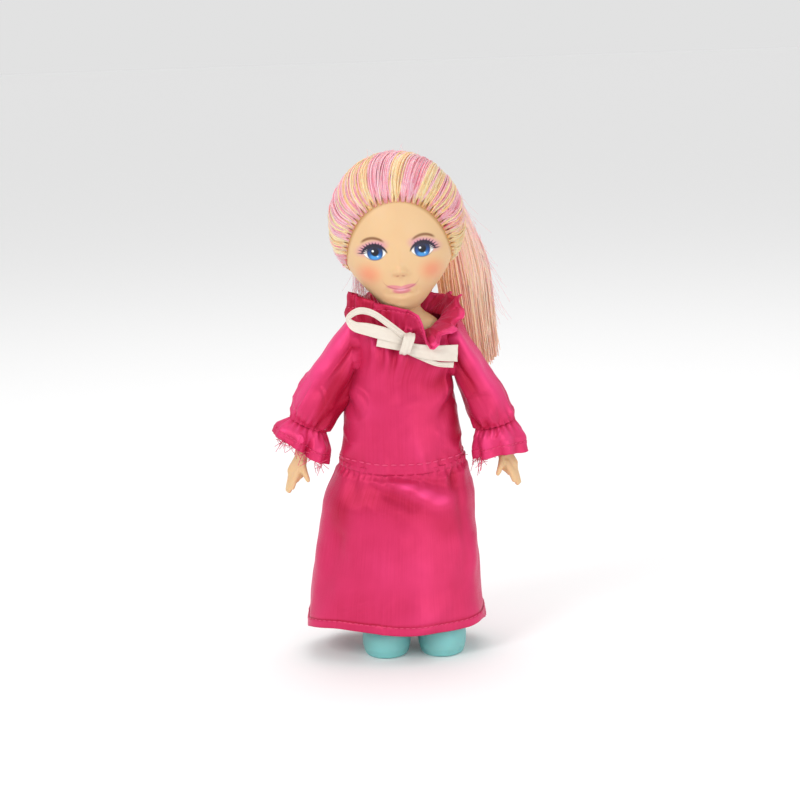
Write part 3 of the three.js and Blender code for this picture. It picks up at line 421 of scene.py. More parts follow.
def face_paint(tree, where, colour):
    """The printed face, seen from the front, with both sides alike but for the glints."""
    pivot = (NECK_AXIS + [0, 0, HEAD_LOW]) * MM
    face = vector_mapped(tree, where, pivot, (0, HEAD_ROLL, 0), (MM, MM, MM))
    split = tree.nodes.new("ShaderNodeSeparateXYZ")
    tree.links.new(face, split.inputs["Vector"])
    joined = tree.nodes.new("ShaderNodeCombineXYZ")
    tree.links.new(maths(tree, "ABSOLUTE", split.outputs["X"]), joined.inputs["X"])
    tree.links.new(split.outputs["Y"], joined.inputs["Y"])
    tree.links.new(split.outputs["Z"], joined.inputs["Z"])
    both = joined.outputs["Vector"]
    front = ranged(tree, split.outputs["Y"], -3.0, -1.0, 1.0, 0.0)

    def layer(mask, tint, strength=1.0):
        nonlocal colour
        colour = painted(tree, colour, maths(tree, "MULTIPLY", mask, front), tint, strength)

    def together(operation, a, b):
        return maths(tree, operation, a, b)

    eye_x, eye_z = EYE
    layer(oval(tree, both, 8.5, 9.6, 2.6, 2.3, 0, 0.9), BLUSH, 0.66)
    layer(oval(tree, both, eye_x + 0.7, eye_z + 1.35, 3.9, 1.8, 14, 0.45), EYE_SHADOW, 0.85)
    above = oval(tree, both, eye_x, eye_z - 0.9, 3.1, 2.9, 0, 0.05)
    opening = together("MULTIPLY", above, oval(tree, both, eye_x, eye_z + 1.1, 3.3, 2.9, 0, 0.05))
    layer(opening, EYE_WHITE)
    for x, z, wide, high, soft, tint, strength in EYE_LAYERS:
        shape = oval(tree, both, eye_x + x, eye_z + z, wide, high, 0, soft)
        layer(together("MULTIPLY", shape, opening), tint, strength)
    for sign in (1, -1):
        glint_x = sign * (eye_x - 0.1) - 0.55
        layer(oval(tree, face, glint_x, eye_z + 0.6, 0.29, 0.29, 0, 0.3), GLINT)
        layer(oval(tree, face, glint_x + 1.2, eye_z - 0.9, 0.2, 0.2, 0, 0.4), GLINT_LOW, 0.7)
    lid = crescent(tree, both, eye_x + 0.1, eye_z - 0.75, 3.6, 3.35, 1.0, 4, 0.06)
    above_eye = ranged(tree, split.outputs["Z"], eye_z - 0.5, eye_z + 0.2)
    layer(together("MULTIPLY", lid, above_eye), LASH_DARK)
    lashes = None
    for k in range(LASHES):
        share = k / (LASHES - 1)
        lean = -30 + 104 * share
        angle = math.radians(90 - lean)
        reach_x, reach_z = 3.35 + 0.2 * share, 2.85 + 0.1 * share
        at = (eye_x + reach_x * math.cos(angle), eye_z - 0.75 + reach_z * math.sin(angle))
        lash = oval(tree, both, *at, 0.17, 0.7 + 0.45 * share, lean + 16 * share, 0.45)
        lashes = lash if lashes is None else together("MAXIMUM", lashes, lash)
    layer(lashes, LASH_DARK, 0.95)
    layer(crescent(tree, both, eye_x, eye_z + 1.0, 3.2, 3.0, -0.24, 0, 0.05), LOWER_LID, 0.75)
    brow = crescent(tree, both, eye_x + 0.3, eye_z - 2.3, 5.4, 6.75, 0.75, 4, 0.04)
    brow_part = oval(tree, both, eye_x + 0.4, eye_z + 4.0, 3.1, 2.4, 0, 0.25)
    layer(together("MULTIPLY", brow, brow_part), BROW_BROWN, 1.0)
    layer(crescent(tree, both, 0, 10.0, 1.9, 1.9, -0.5, 0, 0.2), NOSE_SHADE, 0.3)
    layer(oval(tree, both, 0.75, 8.75, 0.42, 0.24, 20, 0.5), NOSTRIL, 0.6)
    upper_lip = oval(tree, both, 1.55, 5.55, 2.4, 0.62, -10, 0.25)
    lower_lip = oval(tree, both, 0, 4.65, 2.4, 1.0, 0, 0.25)
    layer(together("MAXIMUM", upper_lip, lower_lip), LIP, 0.85)
    # Painted highlight: a paler patch in the middle of the lips.
    layer(oval(tree, both, 0, 4.9, 1.3, 0.42, 0, 0.6), LIP_HIGHLIGHT, 0.8)
    layer(crescent(tree, both, 0, 8.1, 4.9, 3.2, -0.3, 0, 0.05), LIP_LINE, 0.7)
    hairline_z = HAIRLINE_MIDDLE - HEAD_LOW
    bare = oval(tree, face, 0, hairline_z, HAIRLINE_HALF[0] - 0.1, HAIRLINE_HALF[1], 0, 0.03)
    scalp = together("SUBTRACT", 1.0, together("MULTIPLY", bare, front))
    nape = tree.nodes.new("ShaderNodeMath")
    nape.operation = "MULTIPLY_ADD"
    tree.links.new(split.outputs["Y"], nape.inputs[0])
    nape.inputs[1].default_value = NAPE_SLOPE
    tree.links.new(split.outputs["Z"], nape.inputs[2])
    above_nape = ranged(tree, nape.outputs["Value"], *SCALP_LOW)
    return painted(tree, colour, together("MULTIPLY", scalp, above_nape), SCALP)


head.data.materials.append(vinyl_material("vinyl_face", face_paint))
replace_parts(head, "head")
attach(head, "head")

# The hair: nylon fibres rooted in plugs round the face and the nape, pink and blonde by
# turns, combed back over the head and gathered by an elastic high behind the left ear.

HAIR_HALF = np.array([18.6, 17.3, 19.3])
HAIR_MIDDLE = np.array([0, 1.1, 118.6])
NAPE_TOP = 109.6
TAIL_TURN = math.radians(50)
TAIL_RISE = math.radians(25)
TIE_RADIUS = 3.1
TIE_OUT = 2.2
EDGE_POINTS = 160
HAIRLINE_POWER = 2.2
NAPE_AHEAD = 7  # how far forward of the neck's axis the hair's lower edge is at NAPE_TOP


def unit(v):
    return v / np.linalg.norm(v, axis=-1, keepdims=True)


rng = np.random.default_rng(7)
tail_root = HAIR_MIDDLE + HAIR_HALF * [
    math.cos(TAIL_TURN) * math.cos(TAIL_RISE),
    math.sin(TAIL_TURN) * math.cos(TAIL_RISE),
    math.sin(TAIL_RISE),
]
tail_out = (tail_root - HAIR_MIDDLE) / HAIR_HALF**2
tail_out /= np.linalg.norm(tail_out)
tail_across = unit(np.cross(tail_out, [0, 0, 1]))
tail_up = np.cross(tail_across, tail_out)
tail_start = tail_root + tail_out * TIE_OUT


def skull_section(z):
    """At a height, the head's girth as a share of its greatest, and how its chin narrows."""
    up = (z - head_middle[2]) / HEAD_HALF[2]
    ring = (1 - np.abs(up) ** SKULL_POWER) ** (1 / SKULL_POWER)
    return ring, 1 - CHIN_NARROW * np.clip(-up, 0, None) ** 2


def face_depth(x, z):
    """The head's surface at the front, for places on the face."""
    ring, narrow = skull_section(z)
    wide = HEAD_HALF[0] * ring * narrow
    return HEAD_Y - HEAD_HALF[1] * ring * np.sqrt(np.clip(1 - (x / wide) ** 2, 0, 1))


def nape_point(turn):
    """Where the hair's lower edge meets the head, for an angle round Z."""
    y = HEAD_HALF[1] * np.sin(turn)
    for _ in range(4):
        z = NAPE_TOP - NAPE_SLOPE * (y + NAPE_AHEAD)
        ring, narrow = skull_section(z)
        y = HEAD_Y + HEAD_HALF[1] * ring * np.sin(turn)
    return np.stack([HEAD_HALF[0] * ring * np.cos(turn) * narrow, y, z], -1)


def places_at(at, run, points):
    """Points at distances along a path, whose own distances are in run."""
    return np.stack([np.interp(at, run, points[:, i]) for i in range(3)], -1)


def hairline_loop(count):
    """Points along the whole edge of the rooted hair: over the face, then round the nape."""
    bend = np.linspace(math.radians(3), math.radians(177), EDGE_POINTS)
    x = HAIRLINE_HALF[0] * squared(np.cos(bend), HAIRLINE_POWER)
    z = HAIRLINE_MIDDLE + HAIRLINE_HALF[1] * squared(np.sin(bend), HAIRLINE_POWER)
    arch = np.stack([x, face_depth(x, z), z], -1)
    back = nape_point(np.linspace(math.radians(190), math.radians(-10), EDGE_POINTS))
    loop = np.concatenate([arch, back])
    steps = np.linalg.norm(np.diff(loop, axis=0, append=loop[:1]), axis=1)
    run = np.concatenate([[0], np.cumsum(steps)])
    at = (np.arange(count) + 0.5) / count * run[-1]
    return places_at(at, run, np.concatenate([loop, loop[:1]])), at


def slerp(a, b, t):
    """Between two directions along the shortest arc, for arrays of t."""
    angle = np.arccos(np.clip((a * b).sum(-1, keepdims=True), -1, 0.99999))
    return (np.sin((1 - t) * angle) * a + np.sin(t * angle) * b) / np.sin(angle)


PINK = np.array([0.86, 0.175, 0.27])
PINK_PALE = np.array([1.0, 0.52, 0.60])
BLONDE = np.array([0.90, 0.49, 0.19])
BLONDE_PALE = np.array([1.0, 0.70, 0.38])
# ROOT_SHADE_BROWN is mixed in as painted shade at the fibres' roots.
ROOT_SHADE_BROWN = np.array([0.50, 0.22, 0.06])
# Where the streaks are, as the angle of their roots round the face and how pink they are.
STREAKS = [
    (-20, -1), (20, -0.8), (26, 0.5), (37, 0.6), (42, 0.1), (56, 0.4), (61, -0.9), (70, -0.6),
    (74, 0.9), (84, 1.0), (87, -0.6), (91, -0.5), (94, 1.0), (106, 1.0), (110, -0.7), (116, -0.3),
    (121, 0.7), (136, 0.3), (142, 0.6), (156, 0.1), (162, -0.7), (172, -0.4), (176, 1.0),
    (186, 1.0), (190, -0.8), (214, -1),
]
STREAK_MIDDLE = 110  # the height from which the streaks' angles are measured
PLUG = 1.45  # distance between the plugs along the hairline
COMB_STEPS = 21
COMB_SWEEP = 60  # degrees that the fibres by the face are swept back before they turn
FACE_WAY = (0, -1, -0.28)


def strand_tints(at, count):
    """Pink and blonde by turns from plug to plug, with each fibre a little different."""
    roots, _ = hairline_loop(count)
    turn = np.degrees(np.arctan2(roots[:, 2] - STREAK_MIDDLE, roots[:, 0]))
    turn = np.where(turn < -90, turn + 360, turn)
    angles, pinkness = np.array(STREAKS, float).T
    streak = np.interp(turn, angles, pinkness)
    plug = (at / PLUG).astype(int)
    wild = np.sin(plug * 2.4) + 0.7 * np.sin(plug * 1.1 + 1)
    kind = np.where(roots[:, 1] < 3, streak + 0.22 * wild, wild + 0.3) + rng.normal(0, 0.5, count)
    pale = rng.random((count, 1)) ** 0.7
    pink = PINK * (1 - pale) + PINK_PALE * pale
    blonde = BLONDE * (1 - pale) + BLONDE_PALE * pale
    return np.where(kind[:, None] > 0.1, pink, blonde)


def combed(count, layer, stray):
    """Paths of fibres from their plugs over the head to the elastic."""
    roots, at = hairline_loop(count)
    plug_middle = (np.floor(at / PLUG) + 0.5) * PLUG
    drawn = np.interp(plug_middle, at, np.arange(count))
    gathered = places_at(drawn, np.arange(count), roots)
    pinched = roots * 0.4 + gathered * 0.6
    start = unit((pinched - HAIR_MIDDLE) / HAIR_HALF)
    open_start = unit((roots - HAIR_MIDDLE) / HAIR_HALF)
    deep = np.linalg.norm((pinched - HAIR_MIDDLE) / HAIR_HALF, axis=1)
    facing = unit(np.array(FACE_WAY))
    from_face = np.degrees(np.arccos(np.clip(open_start @ facing, -1, 1)))
    sweep = np.radians(COMB_SWEEP) * np.clip((125 - from_face) / 70, 0, 1)
    sideways = unit(open_start - (open_start @ facing)[:, None] * facing)
    steer_angle = np.radians(from_face) + sweep
    steer = facing * np.cos(steer_angle)[:, None] + sideways * np.sin(steer_angle)[:, None]
    steer = unit(steer + rng.normal(0, stray, steer.shape))
    end = unit((tail_root - HAIR_MIDDLE) / HAIR_HALF) * np.ones((count, 1))
    t = (np.linspace(0, 1, COMB_STEPS) ** 1.25)[None, :, None]
    spread = smooth(t / 0.14)
    fanned = start[:, None] * (1 - spread) + open_start[:, None] * spread
    early = slerp(unit(fanned), steer[:, None], t)
    late = slerp(steer[:, None], end[:, None], t)
    way = slerp(early, late, t)
    low = np.clip((from_face - 84) / 22, 0, 1)[:, None, None]
    rise = smooth(t / (0.16 + 0.5 * low)) * 0.93 + 0.07 * t
    level = deep[:, None, None] + (layer[:, None, None] - deep[:, None, None]) * rise
    ripple = 1 + 0.004 * np.sin(7 * t + 9 * rng.random((count, 1, 1)))
    lock = 0.012 * np.sin(at * 1.9 + 2 * np.sin(at * 0.7))[:, None, None] * smooth(t * 4) * (1 - t)
    points = HAIR_MIDDLE + way * HAIR_HALF * (level * ripple + lock)
    return points, at


def through_tie(points):
    """The last stretch of each fibre, drawn into the round of the elastic."""
    count, steps = points.shape[:2]
    arrive = points[:, -5] - tail_root
    arrive -= (arrive @ tail_out)[:, None] * tail_out
    radius = TIE_RADIUS * 0.93 * np.sqrt(rng.random((count, 1)))
    offset = unit(arrive + rng.normal(0, 0.8, arrive.shape)) * radius
    offset -= (offset @ tail_out)[:, None] * tail_out
    at_tie = tail_start + offset
    share = smooth(np.linspace(0, 1, steps) * 3.2 - 2.2)[None, :, None]
    pulled = points * (1 - share) + (at_tie[:, None] - tail_out * 0.2) * share
    return np.concatenate([pulled, at_tie[:, None]], 1), offset


TAIL_LONG = 61
TAIL_STEPS = 17
TAIL_FAN = (4.9, 1.6)  # how far its fibres spread across and from front to back
TAIL_DRIFT = 5.4
TAIL_FORWARD = -2.6


def hung(offset, seed, full=1.0):
    """Paths of the tail's fibres: out of the elastic, over and down in a loose bundle."""
    draw = np.random.default_rng(seed)
    count = len(offset)
    share = np.linspace(0, 1, TAIL_STEPS)[None, :, None]
    spread = offset / TIE_RADIUS
    side = (spread @ tail_across)[:, None, None]
    up = (spread @ tail_up)[:, None, None]
    long = TAIL_LONG * (0.78 + 0.22 * draw.random((count, 1, 1)) ** 0.55)
    long = long * (1 - 0.1 * np.abs(up + 0.2))
    along_x = np.array([1, 0, 0])
    upwards = np.array([0, 0, 1])
    fan = smooth(share * 1.5) * (1 - 0.2 * smooth(share * 1.5 - 0.5))
    out = (3.0 * smooth(share * 4) + 0.8 * up * smooth(share * 5)) * tail_out
    sideways = np.array([0.25, 0.97, 0]) * side * -(TIE_RADIUS + TAIL_FAN[1] * fan * full)
    outwards = along_x * up * (TIE_RADIUS + TAIL_FAN[0] * full) * fan
    level = up * TIE_RADIUS * (1 - smooth(share * 3)) * upwards
    rise = 0.9 * np.sin(np.clip(share * 7, 0, math.pi)) * upwards
    fall = -long * np.clip(share - 0.05, 0, 1) ** 1.04 * upwards
    bow_out = along_x * (0.6 * np.sin(math.pi * share) + TAIL_DRIFT * share)
    lag = np.array([0, TAIL_FORWARD, 0]) * smooth(share)
    wave = draw.normal(0, 0.5, (count, 1, 3)) * share * np.array([1, 1, 0])
    lock = np.sin(side * 6 + up * 5)
    wave = wave + (0.45 * np.sin(4.2 * share + 2 * lock) + 0.3 * lock) * smooth(share * 1.5) * along_x
    return tail_start + out + sideways + outwards + level + rise + fall + bow_out + lag + wave


FIBRE_SIDES = 3


def new_group(name, numbers):
    """A Geometry Nodes tree with named inputs of the kinds given, and its input node."""
    tree = bpy.data.node_groups.new(name, "GeometryNodeTree")
    for kind, way in (("Geometry", "INPUT"), ("Geometry", "OUTPUT")):
        tree.interface.new_socket(kind, in_out=way, socket_type="NodeSocketGeometry")
    for number, kind in numbers.items():
        tree.interface.new_socket(number, in_out="INPUT", socket_type=f"NodeSocket{kind}")
    return tree, tree.nodes.new("NodeGroupInput")


def end_group(tree, output, material):
    """Ends a tree: its instances are made real, given their material and put out."""
    real = tree.nodes.new("GeometryNodeRealizeInstances")
    dressed = tree.nodes.new("GeometryNodeSetMaterial")
    dressed.inputs["Material"].default_value = material
    result = tree.nodes.new("NodeGroupOutput")
    tree.links.new(output, real.inputs["Geometry"])
    tree.links.new(real.outputs["Geometry"], dressed.inputs["Geometry"])
    tree.links.new(dressed.outputs["Geometry"], result.inputs["Geometry"])


def sweep_tree(material):
    """Geometry Nodes that sweep a small round along each line, by its own thickness."""
    tree, given = new_group("fibres", {"Sides": "Int"})
    curves = tree.nodes.new("GeometryNodeMeshToCurve")
    thick = tree.nodes.new("GeometryNodeInputNamedAttribute")
    thick.inputs["Name"].default_value = "thick"
    profile = tree.nodes.new("GeometryNodeCurvePrimitiveCircle")
    profile.inputs["Radius"].default_value = 1
    swept = tree.nodes.new("GeometryNodeCurveToMesh")
    swept.inputs["Fill Caps"].default_value = True
    tree.links.new(given.outputs["Geometry"], curves.inputs["Mesh"])
    tree.links.new(given.outputs["Sides"], profile.inputs["Resolution"])
    tree.links.new(curves.outputs["Curve"], swept.inputs["Curve"])
    tree.links.new(thick.outputs["Attribute"], swept.inputs["Scale"])
    tree.links.new(profile.outputs["Curve"], swept.inputs["Profile Curve"])
    end_group(tree, swept.outputs["Mesh"], material)
    return tree


def made_plain(piece):
    """Works the piece's modifiers into its own mesh, with smooth shading."""
    seen = piece.evaluated_get(bpy.context.evaluated_depsgraph_get())
    mesh = bpy.data.meshes.new_from_object(seen)
    piece.modifiers.clear()
    piece.data = mesh
    piece.data.shade_smooth()


def dressed_in(piece, material):
    piece.data.materials.clear()
    piece.data.materials.append(material)


def set_input(modifier, name, value):
    """Sets an input of a node modifier by its socket's identifier."""
    for item in modifier.node_group.interface.items_tree:
        if item.name == name and item.in_out == "INPUT":
            modifier[item.identifier] = value


def fibres(name, paths, thick, tints, material):
    """One piece from many fibres: their paths, half thickness in mm and colours."""
    count, steps = paths.shape[:2]
    start = np.arange(count)[:, None] * steps + np.arange(steps - 1)[None, :]
    edges = np.stack([start, start + 1], -1).reshape(-1, 2)
    mesh = bpy.data.meshes.new(name)
    places = (paths.reshape(-1, 3) + NECK_AXIS) * MM
    mesh.from_pydata(places.tolist(), edges.tolist(), [])
    width = mesh.attributes.new("thick", "FLOAT", "POINT")
    width.data.foreach_set("value", (thick * MM).astype(np.float32).ravel())
    tint = mesh.attributes.new("tint", "FLOAT_COLOR", "POINT")
    opaque = np.concatenate([tints, np.ones((*tints.shape[:2], 1))], -1)
    tint.data.foreach_set("color", opaque.astype(np.float32).ravel())
    piece = linked(name, mesh)
    sweep = piece.modifiers.new("sweep", "NODES")
    sweep.node_group = sweep_tree(material)
    set_input(sweep, "Sides", FIBRE_SIDES)
    made_plain(piece)
    return piece


def attribute_of(tree, name, output):
    """What the mesh itself says at each point, such as a fibre's own colour."""
    node = tree.nodes.new("ShaderNodeAttribute")
    node.attribute_name = name
    return node.outputs[output]


# The fibres glow faintly in their own colour: painted light that stands in for the light coming
# through fine nylon, so that even their shaded side is bright.
hair_material = plain_material(
    "nylon_hair",
    tuple(BLONDE),
    0.3,
    Emission_Strength=0.05,
    Specular_IOR_Level=0.6,
    Sheen_Weight=0.15,
    Subsurface_Weight=0.35,
    Subsurface_Scale=0.6 * MM,
)
hair_tree = hair_material.node_tree
hair_place = object_place(hair_tree)
fibre_tint = attribute_of(hair_tree, "tint", "Color")
fibre_colour = blotched(hair_tree, hair_place, fibre_tint, (1.0, 0.88, 0.76), 0.2, 900, 0.3, 0.7, 3)
coloured(hair_tree, fibre_colour)
hair_tree.links.new(fibre_colour, hair_tree.nodes["Principled BSDF"].inputs["Emission Color"])
bumped(hair_tree, noisy(hair_tree, hair_place, 5200, 1), 0.1, 0.03)


def hair_layer(name, count, low, high, half_thick, stray, shade):
    """One depth of the combed hair, with painted shade at its roots and on its inner layers."""
    layer = low + (high - low) * rng.random(count)
    points, at = combed(count, layer, stray)
    points, offset = through_tie(points)
    steps = points.shape[1]
    tints = strand_tints(at, count)[:, None] * np.ones((1, steps, 1))
    # Painted shade: the fibres deepen in colour towards their roots, where they crowd into the plugs, and
    # the inner layers are darker.
    root = 1 - smooth(np.linspace(0, 1, steps) / 0.13)[None, :, None]
    inside = (1 - smooth((layer - 0.86) / 0.14))[:, None, None] * shade
    dark = 0.8 * root
    deep = tints**1.9 * [1.0, 0.9, 0.75]
    tints = tints * (1 - dark) + (0.8 * deep + 0.2 * ROOT_SHADE_BROWN) * dark
    tints = tints * (1 - inside) + tints**1.5 * inside
    width = half_thick * (0.55 + 0.45 * smooth(np.linspace(0, 1, steps) * 5))
    thick = width[None, :] * (0.8 + 0.4 * rng.random((count, 1)))
    piece = fibres(name, leaned(points), thick, tints, hair_material)
    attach(piece, "head")
    return piece, offset, strand_tints(at, count)


_, under_offsets, under_tints = hair_layer("hair_under", 1000, 0.925, 0.962, 0.47, 0.02, 0.25)
combed_hair, offsets, tail_tints = hair_layer("hair_combed", 1500, 0.965, 1.0, 0.225, 0.03, 0.0)
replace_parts(combed_hair, "hair_cap")

# A painted highlight for the tail's outer side and painted shade for its inside.
TAIL_HIGHLIGHT_PALE = np.array([1.0, 0.68, 0.66])
TAIL_SHADE_WARM = np.array([1.0, 0.50, 0.22])
TAIL_GOLD = np.array([1.0, 0.68, 0.40])


def tail(name, offset, tints, seed, half_thick, full):
    """One bundle of the tail: a painted highlight of pale pink on its outer side, painted shade of warm
    orange inside, and gold lower down.
    """
    paths = hung(offset, seed, full)
    share = np.linspace(0, 1, TAIL_STEPS)
    outer = np.clip((offset @ tail_up) / TIE_RADIUS, -1, 1)
    shaded_inside = np.clip(0.35 - 0.6 * outer, 0, 0.8)[:, None, None] * smooth(share * 3)[None, :, None]
    pale = np.clip(outer * 1.4 - 0.1, 0, 0.85)[:, None, None] * np.ones((1, TAIL_STEPS, 1))
    gold = 0.5 * smooth(share * 1.6 - 0.4)[None, :, None]
    shade = tints[:, None]
    for amount, colour in ((pale, TAIL_HIGHLIGHT_PALE), (shaded_inside, TAIL_SHADE_WARM), (gold, TAIL_GOLD)):
        shade = shade * (1 - amount) + colour * amount
    width = half_thick * (1 - 0.55 * smooth(share * 1.5 - 0.5))
    thick = width[None, :] * (0.75 + 0.5 * rng.random((len(offset), 1)))
    piece = fibres(name, leaned(paths), thick, shade, hair_material)
    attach(piece, "head")
    return piece


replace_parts(tail("ponytail", offsets, tail_tints, 11, 0.3, 1.0), "ponytail")
tail("tail_inside", under_offsets, under_tints, 12, 0.42, 0.85)

# Loose hairs: a few fibres stand up from the crown, some hang free at the nape, and many fine
# ones leave the tail's outer side. They are the same nylon, all painted pale pink: a painted
# highlight for the light that shines through such thin fibres.

STRAY_HALF = 0.04
STRAY_STEPS = 12
CROWN_HAIRS = 26
TAIL_HAIRS = 110
NAPE_HAIRS = 90
NAPE_START = np.array([-9.6, 6.2, 106.4])
NAPE_RUN = np.array([-3.0, -4.6, 0.6])


def stray_hairs(name, roots, heading, long, bend, seed, spread=0.22):
    """Fine single hairs from their roots, each with its own heading, length and curl."""
    draw = np.random.default_rng(seed)
    count = len(roots)
    t = np.linspace(0, 1, STRAY_STEPS)[None, :, None]
    heading = unit(np.array(heading) + draw.normal(0, spread, (count, 3)))
    curl = draw.normal(0, bend, (count, 1, 3))
    size = long * (0.5 + 0.5 * draw.random((count, 1, 1)))
    paths = roots[:, None] + heading[:, None] * size * t + curl * t**2
    # Painted highlight: every loose fibre is pale pink.
    tints = PINK_PALE * np.ones((count, STRAY_STEPS, 3))
    tints = tints * (0.85 + 0.2 * draw.random((count, 1, 1)))
    thick = np.full((count, STRAY_STEPS), STRAY_HALF)
    piece = fibres(name, leaned(paths), thick, np.clip(tints, 0, 1), hair_material)
    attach(piece, "head")


wisp_rng = np.random.default_rng(5)
crown_turn = wisp_rng.uniform(-0.5, 0.6, CROWN_HAIRS)
crown_back = wisp_rng.uniform(-0.5, 0.1, CROWN_HAIRS)
crown_way = np.stack([np.sin(crown_turn) * 0.8, crown_back, np.cos(crown_turn) * 0.93], -1)
stray_hairs("crown_wisps", HAIR_MIDDLE + HAIR_HALF * crown_way, (0.1, 0.2, 1.0), 2.6, 0.9, 6)
fly_at = np.sort(wisp_rng.uniform(0.1, 0.8, TAIL_HAIRS))
tail_edge = hung(tail_up[None] * 2.7, 3)[0]
fly_roots = places_at(fly_at, np.linspace(0, 1, TAIL_STEPS), tail_edge)
fly_roots = fly_roots + wisp_rng.normal(0, 0.8, fly_roots.shape)
nape_turn = wisp_rng.uniform(0, 1, (NAPE_HAIRS, 1))
nape_roots = NAPE_START + nape_turn * NAPE_RUN
nape_roots = nape_roots + wisp_rng.normal(0, 0.35, (NAPE_HAIRS, 3))
stray_hairs("nape_wisps", nape_roots, (-0.05, 0.05, -1.0), 12.5, 0.9, 9, 0.09)
stray_hairs("tail_wisps", fly_roots, (0.26, -0.09, -1.0), 13, 1.3, 8, 0.15)

# The elastic: a thin band covered in pink thread, wound three times round the tail where it
# leaves the head. It is round in section, and its thread shows as fine ribs.

TIE_HALF = 0.42
TIE_TURNS = 3
TIE_APART = 0.55
TIE_PINK = (0.74, 0.22, 0.36)


def tie_ring(middle, radius):
    """A closed ring of points round the tail, with a little wobble in its radius."""
    angle = all_round(96)[:, None]
    wide = radius + 0.06 * np.sin(3 * angle)
    return middle + wide * (np.cos(angle) * tail_across + np.sin(angle) * tail_up)


def tube(path, radius, sides, closed):
    """Rings of points round a path, with a radius at each of its points."""
    if closed:
        ahead = unit(np.roll(path, -1, 0) - np.roll(path, 1, 0))
    else:
        ahead = unit(np.gradient(path, axis=0))
    across = unit(np.cross(ahead, [0.13, 0.2, 1.0]))
    up = np.cross(across, ahead)
    angle = all_round(sides)
    wide = np.asarray(radius).reshape(-1, 1, 1) * np.ones((len(path), 1, 1))
    round_it = np.cos(angle)[None, :, None] * across[:, None] + np.sin(angle)[None, :, None] * up[:, None]
    return path[:, None] + wide * round_it


def joined_pieces(name, parts):
    """Several objects made one piece."""
    with bpy.context.temp_override(active_object=parts[0], selected_editable_objects=parts):
        bpy.ops.object.join()
    parts[0].name = name
    return parts[0]


def waved(tree, where, scale, distortion=0.0, band="X", detail=2.0):
    """Bands of light and dark, as of threads that lie side by side."""
    node = tree.nodes.new("ShaderNodeTexWave")
    node.bands_direction = band
    node.inputs["Scale"].default_value = scale
    node.inputs["Distortion"].default_value = distortion
    node.inputs["Detail"].default_value = detail
    tree.links.new(where, node.inputs["Vector"])
    return node.outputs["Fac"]


tie_rings = []
for k in range(TIE_TURNS):
    middle = tail_start + tail_out * TIE_APART * (k - 1)
    ring = tie_ring(middle, TIE_RADIUS + 0.25 + 0.12 * (k == 1))
    rings = tube(leaned(ring), TIE_HALF, 12, True)
    tie_rings.append(linked(f"tie_{k}", quad_mesh(f"tie_{k}", np.concatenate([rings, rings[:1]]))))
hair_tie = joined_pieces("hair_tie", tie_rings)
elastic_material = plain_material("elastic", TIE_PINK, 0.7)
elastic_tree = elastic_material.node_tree
bumped(elastic_tree, waved(elastic_tree, object_place(elastic_tree), 900, 1.5), 0.5, 0.12)
dressed_in(hair_tie, elastic_material)
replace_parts(hair_tie, "hair_tie")
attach(hair_tie, "head")

# The neck and the top of the chest: smooth vinyl over the nodding knob, which fills the gap
# below the head and the opening of the collar. The knob and its pin stay inside it.

NECK_PROFILE = [
    (10.2, 85.5), (10.3, 88.0), (10.1, 90.2), (9.2, 91.9), (7.4, 93.2), (5.8, 94.2), (4.9, 95.3),
    (4.6, 96.6), (4.5, 97.6), (3.9, 98.2),
]
CHEST_FLAT = 0.24


def lathe(profile, sides):
    """Rings round the neck's axis through a profile of radius and height, flatter below."""
    profile = np.array(profile)
    run = np.concatenate([[0], np.cumsum(np.linalg.norm(np.diff(profile, axis=0), axis=1))])
    at = np.linspace(0, run[-1], 40)
    radius, height = np.interp(at, run, profile[:, 0]), np.interp(at, run, profile[:, 1])
    radius, height = radius[:, None], height[:, None]
    angle = all_round(sides)
    x = radius * np.cos(angle)
    y = radius * np.sin(angle) * (1 - CHEST_FLAT * smooth((radius - 4.8) / 3))
    return np.stack([x, y, height * np.ones(sides)], -1)


vinyl_plain = vinyl_material("vinyl_body")
neck_skin = linked("neck_skin", quad_mesh("neck_skin", lathe(NECK_PROFILE, 64)))
neck_skin.data.materials.append(vinyl_plain)
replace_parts(neck_skin, "neck_knob")
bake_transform(neck_skin)

# The arms: solid vinyl, slightly bent, each with a small hand of four fingers, moulded close
# together, and a thumb. A peg at the shoulder snaps into the torso.

SIDES = ((1, "left"), (-1, "right"))
SHOULDER_Z = 83
SEAM_X = 14.9
# Places and radii of the left arm, from the shoulder to the wrist, and of its palm.
ARM_LINE = [
    (12.2, 0, SHOULDER_Z, 3.5),
    (14.0, 0, SHOULDER_Z, 3.4),
    (17.3, -0.1, 79.4, 3.3),
    (20.5, -0.5, 72.8, 3.1),
    (23.2, -0.9, 65.4, 2.8),
    (26.2, -1.8, 56.0, 2.0),
]
PALM = [(26.4, -1.9, 54.6, 1.9), (27.8, -2.1, 51.0, 2.5), (28.4, -2.2, 49.6, 1.9)]
PALM_MIDDLE = (27.6, -2.1, 51.5)
PALM_FLAT = 0.62
# The root, the tip and the radius of each finger, and of the thumb.
FINGERS = [
    ((27.0, -3.0, 52.0), (28.9, -3.6, 46.9), 0.95),
    ((27.6, -2.4, 51.6), (29.9, -2.9, 45.9), 1.0),
    ((28.0, -1.6, 51.6), (30.3, -2.1, 46.1), 0.98),
    ((28.1, -0.8, 52.0), (30.1, -1.3, 47.3), 0.85),
    ((25.9, -2.9, 53.6), (24.5, -4.3, 49.0), 0.9),
]
RIGHT_REACH = 3.2
VOXEL = 0.28


def reached(points, side):
    """Places of the left arm, moved across for the right one, which is held further out."""
    points = np.asarray(points, float)
    reach = RIGHT_REACH * smooth((SHOULDER_Z - points[..., 2]) / 30) if side < 0 else 0
    x = side * (points[..., 0] + reach)
    return np.stack([x, points[..., 1], points[..., 2]], -1)


